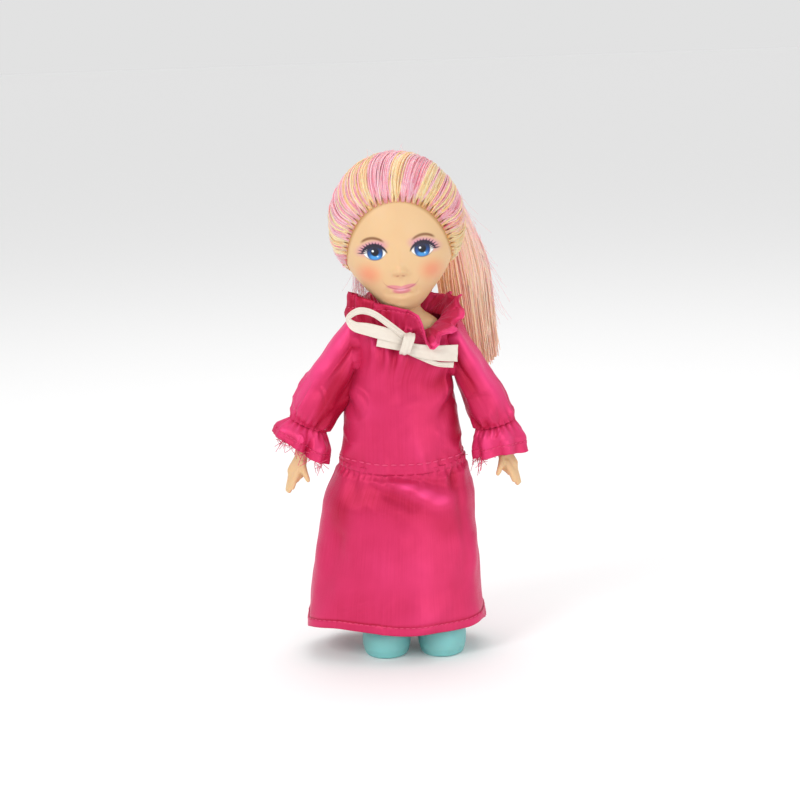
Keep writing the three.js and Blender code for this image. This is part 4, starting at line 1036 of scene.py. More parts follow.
def curve_through(points, count):
    """Points spread evenly by number along a smooth curve through the given ones."""
    points = np.asarray(points, float)
    padded = np.concatenate([2 * points[:1] - points[1:2], points, 2 * points[-1:] - points[-2:-1]])
    t = np.linspace(0, len(points) - 1, count)
    i = np.minimum(t.astype(int), len(points) - 2)
    f = (t - i)[(...,) + (None,) * (points.ndim - 1)]
    a, b, c, d = (padded[i + k] for k in range(4))
    return b + 0.5 * f * (c - a + f * (2 * a - 5 * b + 4 * c - d + f * (3 * (b - c) + d - a)))


def rounded_limb(name, rows, side):
    """A closed tapering limb through places with a radius each, with round ends."""
    rows = np.array(rows, float)
    rows[:, :3] = reached(rows[:, :3], side)
    rows = curve_through(rows, 26)
    path, radius = rows[:, :3], rows[:, 3]
    rings = tube(path, radius, 20, False)
    caps = []
    for end, tip in ((0, path[0] - path[1]), (-1, path[-1] - path[-2])):
        way = unit(tip) * radius[end]
        dome = [
            path[end] + way * math.sin(a) + (rings[end] - path[end]) * math.cos(a)
            for a in (0.5, 1.0, 1.35, 1.56)
        ]
        caps.append(np.array(dome))
    return linked(name, quad_mesh(name, np.concatenate([caps[0][::-1], rings, caps[1]])))


def arm(side, label):
    """The limb, the palm and the fingers, melted into one skin."""
    parts = [rounded_limb("limb", ARM_LINE, side)]
    for root, tip, radius in FINGERS:
        knuckle = (np.array(root) + tip) / 2 + [0.2, -0.25, 0]
        rows = [(*root, radius * 1.05), (*knuckle, radius), (*tip, radius * 0.72)]
        parts.append(rounded_limb("finger", rows, side))
    palm = rounded_limb("palm", PALM, side)
    centre = (reached(PALM_MIDDLE, side) + NECK_AXIS) * MM
    for vertex in palm.data.vertices:
        vertex.co.y = centre[1] + (vertex.co.y - centre[1]) * PALM_FLAT
    parts.append(palm)
    piece = joined_pieces(f"arm_{label}", parts)
    remesh = piece.modifiers.new("skin", "REMESH")
    remesh.mode = "VOXEL"
    remesh.voxel_size = VOXEL * MM
    remesh.use_smooth_shade = True
    soften = piece.modifiers.new("soften", "SMOOTH")
    soften.iterations = 4
    made_plain(piece)
    dressed_in(piece, vinyl_plain)
    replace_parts(piece, f"arm_{label}")
    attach(piece, f"arm_{label}")


for sign, label in SIDES:
    arm(sign, label)

# The legs: solid vinyl, straight and close together under the gown, each with a foot that
# fills its shoe. Both swing on the axle at the hip, which stays inside them.

LEG_X = 7.7
HIP_Z = 50
LEG_SIDES = 48
# Half widths across and from front to back, and their heights.
LEG_ROWS = [
    (2.2, 2.2, HIP_Z + 4.9),
    (4.4, 4.5, HIP_Z + 3),
    (5.2, 5.2, HIP_Z),
    (4.9, 4.9, 40),
    (3.9, 4.1, 29),
    (3.9, 4.3, 22),
    (3.0, 3.0, 12),
    (3.1, 3.3, 3.2),
]


def leg(side, label):
    rows = curve_through(LEG_ROWS, 60)
    angle = all_round(LEG_SIDES)
    x = side * LEG_X + rows[:, :1] * np.cos(angle)
    y = rows[:, 1:2] * np.sin(angle)
    rings = np.stack([x, y, rows[:, 2:] * np.ones(LEG_SIDES)], -1)
    rings = np.concatenate([drawn_in(rings[:1]), rings, drawn_in(rings[-1:])])
    piece = linked(f"leg_{label}", quad_mesh(f"leg_{label}", rings))
    piece.data.materials.append(vinyl_plain)
    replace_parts(piece, f"leg_{label}")
    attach(piece, f"leg_{label}")


for sign, label in SIDES:
    leg(sign, label)

# The shoes: soft moulded slip-ons in matt teal, with a full round toe, a thin sole line and
# an opening for the ankle.

SHOE_HALF = (6.7, 11.0)
SHOE_HIGH = 12.2
SHOE_Y = -3.6
SHOE_WIDEST = 0.36
SHOE_POWER = 2.35
SHOE_CORNERS = (2.15, 2.1)
SOLE_LINE = (1.5, 0.22, 0.18)  # its height, half width and depth
SHOE_TEAL = (0.20, 0.53, 0.52)
TEAL_WORN = (0.21, 0.48, 0.46)
# From the rim inwards: the opening's share of the rim's width, and its height from the rim.
SHOE_OPENING = ((0.93, 0.05), (0.88, -0.3), (0.86, -1.2), (0.8, -4.0), (0.3, -5.0), (0, -5))


def near(x, at, wide):
    """1 where x is at a place, fading to 0 over a width on both sides of it."""
    return np.exp(-(((x - at) / wide) ** 2))


def shoe(side, label):
    angle = all_round(96)
    tilt = np.linspace(0.02, math.pi * 0.86, 56)
    ring = squared(np.sin(tilt), SHOE_POWER)[:, None]
    middle_z = SHOE_HIGH * SHOE_WIDEST
    half_z = SHOE_HIGH * (1 - SHOE_WIDEST)
    z = middle_z - half_z * squared(np.cos(tilt), SHOE_POWER)[:, None] * np.ones((1, len(angle)))
    x = SHOE_HALF[0] * ring * squared(np.cos(angle), SHOE_CORNERS[0])
    y = SHOE_HALF[1] * ring * squared(np.sin(angle), SHOE_CORNERS[1])
    toe = smooth(-y / SHOE_HALF[1])
    heel = smooth(y / SHOE_HALF[1])
    x = x * (1 + 0.03 * toe - 0.14 * heel)
    z = np.where(z > middle_z, middle_z + (z - middle_z) * (1 - 0.06 * toe), z)
    z = np.maximum(z, 0.02 * np.hypot(x, y))
    line_z, line_half, line_deep = SOLE_LINE
    groove = near(z, line_z, line_half) * line_deep
    out = np.hypot(x, y) + 1e-6
    x, y = x * (1 - groove / out), y * (1 - groove / out)
    grid = np.stack([x + side * LEG_X, y + SHOE_Y, z], -1)
    rim = grid[-1]
    centre = rim.mean(0)
    opening = [rim + [0, 0, 0.12]]
    for share, rise in SHOE_OPENING:
        opening.append(centre + (rim - centre) * [share, share, 1] + [0, 0, rise])
    points = np.concatenate([drawn_in(grid[:1]), grid, np.array(opening)])
    piece = linked(f"shoe_{label}", quad_mesh(f"shoe_{label}", points))
    piece.data.materials.append(shoe_material)
    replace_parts(piece, f"shoe_{label}")
    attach(piece, f"leg_{label}")


shoe_material = plain_material(
    "soft_teal",
    SHOE_TEAL,
    0.52,
    Subsurface_Weight=0.15,
    Subsurface_Scale=0.8 * MM,
)
shoe_tree = shoe_material.node_tree
shoe_place = object_place(shoe_tree)
shoe_base = flat_colour(shoe_tree, SHOE_TEAL)
coloured(shoe_tree, blotched(shoe_tree, shoe_place, shoe_base, TEAL_WORN, 0.5, 160, 0.45, 0.75, 4))
bumped(shoe_tree, noisy(shoe_tree, shoe_place, 1800, 3), 0.15, 0.05)

for sign, label in SIDES:
    shoe(sign, label)

# The gown's cloth: crimson polyester satin, about 0.3 mm thick with its folded edges. It
# shines pink where it turns to the light, and its weave runs round and along each panel.

# SATIN_PINK is the painted highlight and SATIN_SHADE the painted shade that the painted-light attribute lays
# on the satin; both also tint its random streaks and blotches.
SATIN = (0.585, 0.024, 0.100)
SATIN_PINK = (0.86, 0.062, 0.23)
SATIN_SHADE = (0.38, 0.002, 0.022)
CLOTH = 0.3


def cloth_uv(tree):
    """The piece's own UV, in mm round and along it."""
    node = tree.nodes.new("ShaderNodeUVMap")
    node.uv_map = "cloth"
    return node.outputs["UV"]


def added(tree, a, a_share, b, b_share):
    """Two values added up, each times its share."""
    return maths(tree, "ADD", maths(tree, "MULTIPLY", a, a_share), maths(tree, "MULTIPLY", b, b_share))


def satin_material(name, streaks):
    """Satin with its weave on the piece's UV; streaks is how often the threads' colour turns.

    Its pinker crests and crimson hollows are painted highlight and painted shade, read from the
    mesh's painted-light attribute from 0 to 1.
    """
    made = plain_material(
        name,
        SATIN,
        0.36,
        Metallic=0.25,
        Sheen_Weight=0.12,
        Sheen_Roughness=0.35,
        Sheen_Tint=(1.0, 0.2, 0.5, 1),
        Anisotropic=0.35,
        Specular_IOR_Level=0.45,
        Specular_Tint=(1.0, 0.45, 0.66, 1),
    )
    tree = made.node_tree
    cloth = cloth_uv(tree)
    where = object_place(tree)
    painted_light = attribute_of(tree, "painted_light", "Fac")
    run = tree.nodes.new("ShaderNodeMapping")
    run.inputs["Scale"].default_value = (streaks, 0.06, 1)
    tree.links.new(cloth, run.inputs["Vector"])
    # Painted light from the mesh's attribute: painted highlight above 0.5, painted shade below it.
    colour = painted(tree, flat_colour(tree, SATIN), ranged(tree, painted_light, 0.5, 1.0), SATIN_PINK)
    colour = painted(tree, colour, ranged(tree, painted_light, 0.5, 0.0), SATIN_SHADE)
    colour = blotched(tree, run.outputs["Vector"], colour, SATIN_PINK, 0.16, 1.0, 0.3, 0.7, 3)
    coloured(tree, blotched(tree, where, colour, SATIN_SHADE, 0.15, 110, 0.4, 0.8))
    warp, weft = (waved(tree, cloth, 2.1, 0.6, band, 1) for band in "XY")
    weave = added(tree, warp, 0.35, weft, 0.15)
    bumped(tree, added(tree, weave, 0.35, noisy(tree, where, 240, 3), 0.6), 0.35, 0.25)
    return made


satin = satin_material("satin", 9.0)

WAIST_Z = 53.2
WAIST = (35.6, 25.2)
CHEST = 29.2
ARMHOLE_R = 9.0
NECK_SEAM_Z = 93
NECK_SEAM = (21.2, 17.2)
NECK_SEAM_DIP = 3.6


def frontness(angle):
    """1 at the middle of the front and 0 from the sides to the back."""
    return np.clip(-np.sin(angle), 0, None) ** 1.5


def on_oval(angle, wide, deep, z, power):
    """Places round a level oval, for its width and depth."""
    x = wide / 2 * squared(np.cos(angle), power)
    y = deep / 2 * squared(np.sin(angle), power)
    return np.stack([x, y, z * np.ones_like(angle)], -1)


def neck_seam(angle):
    """Places along the seam of the neck, which dips at the front."""
    z = NECK_SEAM_Z - NECK_SEAM_DIP * frontness(angle)
    points = on_oval(angle, *NECK_SEAM, z, 2)
    return points - np.stack([0 * angle, 1.2 * frontness(angle), 0 * angle], -1)


def waist_dip(angle):
    """The waist seam hangs a little lower at the front."""
    return 2.2 * frontness(angle)


def bodice_base(angle, rows):
    """The bodice's outside without folds, from the waist seam up to the neck seam."""
    rings = np.stack(
        [
            on_oval(angle, *WAIST, WAIST_Z, 2.1) - np.stack([0 * angle, 0 * angle, waist_dip(angle)], -1),
            on_oval(angle, (WAIST[0] + CHEST) / 2, 24.4, 64, 2.3),
            on_oval(angle, CHEST + 0.3, 22.8, SHOULDER_Z - ARMHOLE_R, 2.5),
            on_oval(angle, CHEST, 20.8, SHOULDER_Z, 2.8),
            on_oval(angle, CHEST - 0.6, 19.2, SHOULDER_Z + 6, 2.8),
            neck_seam(angle),
        ]
    )
    return curve_through(rings, rows)


def ridge(u, v, start, end, wide, high):
    """A soft fold along a line of the cloth, strongest at its start and gone at its end."""
    (u0, v0), (u1, v1) = start, end
    du, dv = u1 - u0, v1 - v0
    near = np.clip(((u - u0) * du + (v - v0) * dv) / (du * du + dv * dv), 0, 1)
    away2 = (u - u0 - near * du) ** 2 + (v - v0 - near * dv) ** 2
    return high * np.exp(-away2 / wide**2) * (1 - smooth(near))


def gown_round(count):
    """Angles evenly apart all the way round, from the doll's right."""
    return np.radians(np.linspace(-180, 180, count, endpoint=False))


def normals_of(points, closed=True):
    """Outward directions of a grid that runs round and along a piece."""
    if closed:
        round_it = np.roll(points, -1, 1) - np.roll(points, 1, 1)
    else:
        round_it = np.gradient(points, axis=1)
    along = np.gradient(points, axis=0)
    normal = unit(np.cross(round_it, along) + 1e-9)
    middle = points.mean(1, keepdims=True)
    if (normal * (points - middle)).sum() < 0:
        normal = -normal
    return normal


def creased(points, size, depth, seed):
    """Narrow raised creases that come and go over the cloth, as depths at each point."""
    flat = points.reshape(-1, 3) / size + seed * 5.1
    lines = np.array([1 - min(1, abs(noise.noise(Vector(p))) / 0.2) for p in flat]) ** 2
    where = np.array([noise.noise(Vector(p * 0.55 + 31)) for p in flat])
    return depth * (lines * np.clip(where * 3 + 0.2, 0, 1)).reshape(points.shape[:2])


def rumpled(points, size, depth, seed):
    """Small uneven waves for the cloth, as depths at each point."""
    flat = points.reshape(-1, 3) / size + seed * 7.3
    waves = [noise.noise(Vector(p)) for p in flat]
    return depth * np.array(waves).reshape(points.shape[:2])


def cloth_piece(name, points, painted_light, closed=True, thick=CLOTH):
    """A piece of the gown: its outside as a grid of points, given the cloth's thickness."""
    piece = linked(name, quad_mesh(name, points, closed))
    # The painted-light value at each point: painted highlight above 0.5 and painted shade below it, which
    # the satin reads.
    level = piece.data.attributes.new("painted_light", "FLOAT", "POINT")
    level.data.foreach_set("value", np.clip(painted_light, 0, 1).astype(np.float32).ravel())
    wall = piece.modifiers.new("cloth", "SOLIDIFY")
    wall.thickness = thick * MM
    wall.offset = -1
    made_plain(piece)
    piece.data.materials.append(satin)
    return piece


def in_zones(a, b, zones):
    """Soft ovals added up: each has its middle, half sizes and strength."""
    total = np.zeros_like(a)
    for at_a, at_b, wide, high, strength in zones:
        total += strength * np.exp(-(((a - at_a) / wide) ** 2) - ((b - at_b) / high) ** 2)
    return total


# Painted highlight (pinker) and painted shade (darker) on the bodice's front: x, height, half sizes and
# strength.
FRONT_PAINTED_LIGHT = [
    (14.5, 66, 3.6, 10, -0.5),
    (10.0, 75.5, 5, 3, -0.3),
    (-9.0, 70, 5, 6, 0.16),
    (-4.5, 82, 7, 3.4, -0.34),
    (5.0, 81, 5, 2.6, -0.25),
    (-18.0, 60, 3, 8, -0.2),
    (2.0, 60, 7, 6, 0.08),
]
# Folds of the bodice: start and end as x and height on the front, half width and depth.
FRONT_FOLDS = [
    ((-4.6, 87), (-4.2, 73), 0.9, 1.1),
    ((-2.8, 87), (-2.4, 76), 0.7, -0.8),
    ((-1.0, 87), (-1.3, 74), 0.8, 1.0),
    ((1.2, 86), (1.0, 77), 0.7, -0.5),
    ((-8.0, 88), (-8.8, 77), 1.1, 1.0),
    ((-6.2, 88), (-6.0, 79), 0.8, -0.7),
    ((4.2, 85), (4.0, 75), 1.0, 0.8),
    ((7.6, 84), (7.4, 77), 0.8, -0.6),
    ((10.5, 86), (10.0, 76), 1.0, 0.7),
    ((-15.0, 75), (-7.5, 66), 1.9, 0.9),
    ((-15.5, 72), (-9.0, 62), 1.3, -0.6),
    ((13.8, 75), (6.5, 65), 1.7, 0.8),
    ((14.2, 71), (8.0, 60), 1.3, -0.6),
    ((-16.5, 56), (-9.0, 63), 1.5, 0.7),
    ((15.5, 56), (9.0, 64), 1.4, 0.8),
    ((6.0, 52), (4.0, 61), 1.5, 0.6),
    ((-5.0, 52), (-6.5, 62), 1.5, 0.6),
    ((11.0, 52), (10.0, 58), 0.8, -0.5),
    ((-11.0, 53), (-12.0, 58), 0.9, -0.5),
]
BACK_FOLDS = 9
BODICE_ROWS = 120


def gown_shift(z):
    """The gown hangs a little to the doll's right, more and more towards the hem."""
    return -1.6 * smooth((84 - z) / 9) - 0.7 * smooth((54 - z) / 12)


def bodice_grid(from_degrees, to_degrees, columns, lift):
    """One panel of the bodice as places, and its tone at each."""
    degrees = np.linspace(from_degrees, to_degrees, columns)
    lift = lift * smooth((degrees - 55) / 25)
    angle = np.radians(degrees)
    points = bodice_base(angle, BODICE_ROWS)
    x, y, z = np.moveaxis(points, -1, 0)
    normal = unit(np.stack([x / 15**2, y / 11**2, 0 * x], -1))
    front = smooth(-normal[..., 1] * 2)
    back = smooth(normal[..., 1] * 2)
    swell = -0.35 * smooth((84 - z) / 8) - 0.4 * near(z, 75, 5)
    for start, end, wide, high in FRONT_FOLDS:
        swell += ridge(x, z, start, end, wide, high) * front
    for at in np.linspace(-9, 9, BACK_FOLDS):
        swell += ridge(x, z, (at, 92), (at * 1.05, 78), 0.75, 0.6) * back
        swell += ridge(x, z, (at * 1.5, 53), (at * 1.4, 62), 0.8, 0.4) * back
    hang = smooth((z - WAIST_Z + 2) / 5)
    swell += (rumpled(points, 8.0, 0.75, 1) + rumpled(points, 3.4, 0.14, 2)) * hang
    swell += creased(points, 9.0, 0.35, 3) * hang
    edge = smooth((NECK_SEAM_Z - z) / 3 + frontness(angle) * 1.2)
    moved = points + normal * (swell * edge + lift)[..., None]
    moved[..., 0] += gown_shift(z)
    # Painted light: the folds' crests pinker as painted highlight and their hollows crimson as painted
    # shade, with the listed zones on the front.
    painted_light = 0.5 + 0.2 * (swell - swell.mean()) + in_zones(moved[..., 0], z, FRONT_PAINTED_LIGHT) * front
    return moved, painted_light


# Each panel's first and last angle in degrees, its columns, and how far it laps over the
# other half of the back.
PANELS = {
    "bodice_front": (180, 360, 170, 0.0),
    "bodice_back_left": (0, 96, 90, 0.35),
    "bodice_back_right": (87, 180, 90, 0.0),
}
panels = {}
panel_grids = {}
for name, cut in PANELS.items():
    panel_grids[name], painted_light = bodice_grid(*cut)
    panels[name] = cloth_piece(name, panel_grids[name], painted_light, closed=False)
    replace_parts(panels[name], name)
    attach(panels[name], "torso")

# The sleeves: set in at the armhole, full at the top, and drawn in at the wrist by a line of
# elastic thread, with creases that run up from it.

GATHER_R = 5.1
SLEEVE_R = 6.3
PUCKERS = 19
SLEEVE_IN = 0.26  # how far the sleeve goes in under the bodice, as a share of its length
SLEEVE_LONG = 24  # its length across, for the part under the bodice
UNDERARM = (1.6, 2.0)  # how far in and up the seam's lowest point is moved
# For each side: the middle of the drawn-in end, its tilt and the cuff's lean, in degrees.
GATHERS = {1: ((24.4, -1.2, 62.4), 15, 5), -1: ((27.2, -1.2, 64.0), 25, 17)}
PUFF = {1: 1.25, -1: 2.2}  # how full each sleeve is
# Painted highlight (pinker) and painted shade (darker) on a sleeve: angle in degrees, share of its
# length, half sizes of both and strength.
SLEEVE_PAINTED_LIGHT = {
    1: [(130, 0.45, 34, 0.5, 0.36), (-165, 0.2, 26, 0.34, -0.5), (-140, 0.93, 40, 0.1, -0.4),
        (-110, 0.3, 30, 0.5, -0.3)],
    -1: [(112, 0.5, 38, 0.6, 0.42), (-168, 0.5, 18, 0.4, -0.5), (-128, 0.55, 32, 0.5, -0.62),
         (175, 0.25, 14, 0.3, -0.2)],
}


def sleeve_frame(side, t):
    """Middle, half height and upward direction of the sleeve's section, for rows of t."""
    t = np.asarray(t, float)[:, None]
    middle, tilt, _ = GATHERS[side]
    tilt = math.radians(tilt)
    gather_up = np.array([math.cos(tilt), 0, math.sin(tilt)]) * (GATHER_R + 0.2)
    out = np.clip(t, 0, 1)
    inwards = np.minimum(t, 0) * [SLEEVE_LONG, 0, 0]
    top = np.array([SEAM_X, 0, SHOULDER_Z + ARMHOLE_R])
    low = np.array([SEAM_X - UNDERARM[0], 0, SHOULDER_Z - ARMHOLE_R + UNDERARM[1]])
    mirror = np.array([side, 1, 1])
    outer = (top + (middle + gather_up - top) * out + inwards) * mirror
    inner = (low + (middle - gather_up - low) * out + inwards) * mirror
    up = (outer - inner) * [1, 0, 1]
    tall = np.linalg.norm(up, axis=1, keepdims=True) / 2
    return (outer + inner) / 2, tall, up / (2 * tall)


# Folds of a sleeve: start and end as angle in degrees (-180 front, 90 outer) and share of
# the length, then half width and depth.
SLEEVE_FOLDS = {
    1: [
        ((150, -0.1), (138, 0.95), 15, 1.5),
        ((-160, -0.05), (172, 0.95), 9, -1.3),
        ((-128, 0.1), (-150, 0.9), 13, 0.7),
        ((-175, 1.0), (-178, 0.72), 6, 0.8),
        ((160, 1.0), (150, 0.78), 5, -0.9),
        ((-150, 1.0), (-140, 0.7), 7, 0.9),
        ((-125, 1.0), (-118, 0.6), 6, -0.8),
        ((-105, 1.0), (-104, 0.62), 6, 0.8),
        ((118, 1.0), (112, 0.6), 8, 0.7),
        ((84, 1.0), (80, 0.5), 9, 0.7),
        ((50, 1.0), (56, 0.4), 9, 0.9),
        ((15, 1.0), (22, 0.35), 9, 0.9),
        ((-20, 1.0), (-12, 0.4), 9, 0.8),
        ((-55, 1.0), (-50, 0.5), 8, 0.7),
        ((60, 0.0), (40, 0.7), 12, 0.8),
        ((10, 0.0), (25, 0.6), 12, -0.7),
    ],
    -1: [
        ((118, -0.1), (112, 0.97), 20, 1.5),
        ((160, 0.0), (152, 0.97), 10, -1.5),
        ((-170, 0.1), (-176, 0.9), 11, 0.7),
        ((-138, 0.05), (-150, 0.85), 9, -0.9),
        ((-105, 0.15), (-112, 0.75), 14, 1.3),
        ((175, 1.0), (170, 0.66), 6, 0.9),
        ((-160, 1.0), (-150, 0.6), 6, -0.8),
        ((-140, 1.0), (-134, 0.55), 7, 1.0),
        ((-112, 1.0), (-110, 0.6), 7, 0.8),
        ((132, 1.0), (126, 0.8), 5, -0.8),
        ((84, 1.0), (84, 0.5), 9, 0.7),
        ((50, 1.0), (56, 0.4), 9, 0.9),
        ((15, 1.0), (22, 0.35), 9, 0.9),
        ((-20, 1.0), (-12, 0.4), 9, 0.8),
        ((-60, 1.0), (-56, 0.5), 8, 0.7),
        ((60, 0.0), (40, 0.7), 12, 0.8),
        ((10, 0.0), (25, 0.6), 12, -0.7),
    ],
}


def sleeve(side, label):
    rows, around = 120, 150
    t = np.linspace(-SLEEVE_IN, 1, rows)
    angle = gown_round(around)
    centre, tall, up = sleeve_frame(side, t)
    seen = np.clip(t, 0, 1)
    deep = ARMHOLE_R - 0.2 + (SLEEVE_R - ARMHOLE_R) * smooth(seen * 1.5)
    deep = deep + (GATHER_R - deep) * smooth((seen - 0.8) / 0.2)
    full = PUFF[side] * np.sin(math.pi * seen**1.3) ** 0.7
    degrees = np.degrees(angle)[None, :] * np.ones((rows, 1))
    along = t[:, None] * np.ones((1, around))
    swell = full[:, None] * (0.75 + 0.25 * np.sin(angle))[None, :]
    for (a0, t0), (a1, t1), wide, high in SLEEVE_FOLDS[side]:
        for turn in (-360, 0, 360):
            start, end = (a0 + turn, t0 * 90), (a1 + turn, t1 * 90)
            if abs(a1 - a0) > 180:
                end = (end[0] + 360 * np.sign(a0 - a1), end[1])
            swell = swell + ridge(degrees, along * 90, start, end, wide, high)
    swell = swell * (1 - smooth((along - 0.93) / 0.07)) + 0.05
    pucker = 0.3 * np.sin(PUCKERS * angle)[None, :] * smooth((t - 0.84) / 0.16)[:, None]
    tuck = (1 - 0.3 * smooth(-t / SLEEVE_IN))[:, None]
    across = ((deep[:, None] + swell + pucker) * tuck)[..., None]
    upwards = ((tall + swell + pucker) * tuck)[..., None]
    grid = centre[:, None] + across * np.cos(angle)[None, :, None] * [0, 1, 0]
    grid = grid + upwards * np.sin(angle)[None, :, None] * up[:, None]
    fade = 1 - smooth((along - 0.9) / 0.1)
    rough = (rumpled(grid, 6.0, 0.6, 3 + side) + creased(grid, 6.5, 0.4, 5 + side)) * fade
    grid = grid + normals_of(grid) * rough[..., None]
    # Painted light: fold crests pinker as painted highlight and hollows crimson as painted shade, with the
    # listed zones.
    painted_light = 0.5 + 0.2 * (swell - full[:, None])
    for turn in (-360, 0, 360):
        painted_light = painted_light + in_zones(degrees + turn, along, SLEEVE_PAINTED_LIGHT[side])
    piece = cloth_piece(f"sleeve_{label}", grid, painted_light)
    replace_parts(piece, f"sleeve_{label}")
    start = (NECK_AXIS + [side * 11, 0, SHOULDER_Z]) * MM
    end = (NECK_AXIS + [side * 19, 0, SHOULDER_Z]) * MM
    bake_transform(piece)
    return piece


sleeves = {label: sleeve(sign, label) for sign, label in SIDES}

# The cuffs: a flounce below the elastic thread of each sleeve, hemmed with one line of
# stitches, standing out from the wrist in two or three deep folds.

CUFF_LONG = 8.6
CUFF_HEM = 0.7
# Lower edge of each cuff: angle in degrees (-180 front, 90 outer), distance from the middle
# and extra length.
CUFF_EDGES = {
    1: [(-180, 7.0, -0.7), (-162, 6.6, -0.6), (-140, 7.4, -0.7), (-118, 6.6, -1.0), (-92, 7.2, -1.0),
        (-66, 6.6, -0.8), (-40, 7.6, 0.2), (-15, 6.6, 0), (15, 7.8, 0), (42, 6.8, 0.4),
        (68, 8.0, 1.0), (92, 7.6, 1.5), (118, 8.2, 1.0), (145, 7.2, 0.2), (165, 7.8, -0.4)],
    -1: [(-180, 6.6, -1.6), (-168, 4.4, -1.2), (-152, 7.4, -0.6), (-130, 7.8, -0.5),
         (-108, 7.8, -0.2), (-88, 8.2, -0.2), (-60, 6.8, -0.4), (-35, 7.8, -0.8), (-5, 6.8, -0.8),
         (25, 8.0, -1.2), (52, 7.2, -1.6), (75, 8.8, -2.4), (95, 9.4, -2.8), (115, 8.4, -2.4),
         (135, 7.2, -2.2), (150, 7.8, -2.2), (168, 7.6, -2.0)],
}


def wrapped(degrees):
    """Angles brought within half a turn of 0."""
    return (degrees + 180) % 360 - 180


def around_table(table, angle, column):
    """Smooth values round a closed list of (degrees, ...) rows."""
    rows = sorted(table)
    degrees = np.array([r[0] for r in rows] + [rows[0][0] + 360], float)
    values = np.array([r[column] for r in rows] + [rows[0][column]], float)
    at = wrapped(np.degrees(angle))
    i = np.clip(np.searchsorted(degrees, at, side="right") - 1, 0, len(rows) - 1)
    t = smooth((at - degrees[i]) / (degrees[i + 1] - degrees[i]))
    return values[i] * (1 - t) + values[i + 1] * t


def cuff(side, label):
    rows, around = 50, 220
    angle = gown_round(around)
    centre, _, up = sleeve_frame(side, [1.0])
    lean = math.radians(GATHERS[side][2])
    along = np.array([side * math.sin(lean), -0.08, -math.cos(lean)])
    t = np.linspace(0, 1, rows)[:, None]
    edge_r, edge_z = (around_table(CUFF_EDGES[side], angle, k)[None, :] for k in (1, 2))
    out = smooth(t * 1.1) ** 0.7
    folds = 0.34 * np.sin(PUCKERS * angle)[None, :] * (1 - smooth(t * 2.0))
    lobes = 0.45 * np.sin(7 * angle + side)[None, :] * smooth(t * 1.4)
    belly = 0.7 * np.sin(math.pi * np.clip(t * 1.25, 0, 1))
    radius = (GATHER_R - 0.1) + (edge_r - GATHER_R) * out + folds + lobes + belly
    down = (CUFF_LONG + edge_z) * t - 0.3
    grid = (
        centre[0]
        + along * down[..., None]
        + (radius * np.cos(angle) * 0.92)[..., None] * [0, 1, 0]
        + (radius * np.sin(angle))[..., None] * up[0]
    )
    rough = rumpled(grid, 3.4, 0.4, 9 + side) + creased(grid, 4.0, 0.3, 15 + side)
    grid = grid + normals_of(grid) * rough[..., None]
    hem = 0.14 * smooth((t - CUFF_HEM) / 0.02) - 0.16 * near(t, CUFF_HEM, 0.02)
    grid = grid + normals_of(grid) * hem[..., None]
    # Painted light: the crests of lobes and folds pinker as painted highlight, and painted shade just below
    # the gathered top.
    painted_light = 0.62 + 0.16 * (belly + lobes) + 0.35 * folds - 0.5 * near(t, 0, 0.07)
    piece = cloth_piece(f"cuff_{label}", grid, painted_light)
    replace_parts(piece, f"cuff_{label}")
    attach(piece, f"arm_{label}")
    return piece, grid


cuffs = {label: cuff(sign, label) for sign, label in SIDES}

# The collar: a doubled ruffle on a drawstring, standing round the neck, turned open to the
# doll's left with its edge falling in a point over the bow.

# The collar's outer edge: angle in degrees round the neck, then its place.
COLLAR_EDGE = [
    (-180, -13.6, 0.5, 99.6),
    (-160, -13.6, -4.0, 100.4),
    (-143, -11.8, -6.8, 99.8),
    (-124, -7.6, -8.4, 98.2),
    (-106, -3.0, -9.2, 97.0),
    (-92, 1.2, -10.4, 96.2),
    (-83, 4.0, -12.2, 94.6),
    (-77, 5.0, -14.2, 91.4),
    (-71, 6.4, -15.4, 87.4),
    (-65, 7.6, -15.9, 85.6),
    (-58, 9.0, -15.0, 87.0),
    (-50, 10.6, -13.8, 89.2),
    (-42, 12.4, -12.2, 89.4),
    (-33, 14.2, -10.2, 90.4),
    (-24, 15.6, -7.8, 92.4),
    (-12, 16.6, -4.2, 95.2),
    (4, 15.4, 0.4, 97.8),
    (20, 13.0, 4.4, 98.6),
    (38, 13.0, 7.6, 96.8),
    (62, 8.0, 10.6, 98.4),
    (90, 0.6, 11.8, 97.0),
    (120, -7.6, 10.8, 98.6),
    (150, -12.4, 6.4, 98.2),
]
# Painted shade (darker) and painted highlight (pinker) on the collar: angle, share of its height, half
# sizes, strength.
COLLAR_PAINTED_LIGHT = [(-150, 0.6, 55, 1.4, -0.55), (-55, 0.96, 60, 0.16, 0.4), (-30, 0.5, 40, 0.5, -0.1)]
COLLAR_HEM = 0.8


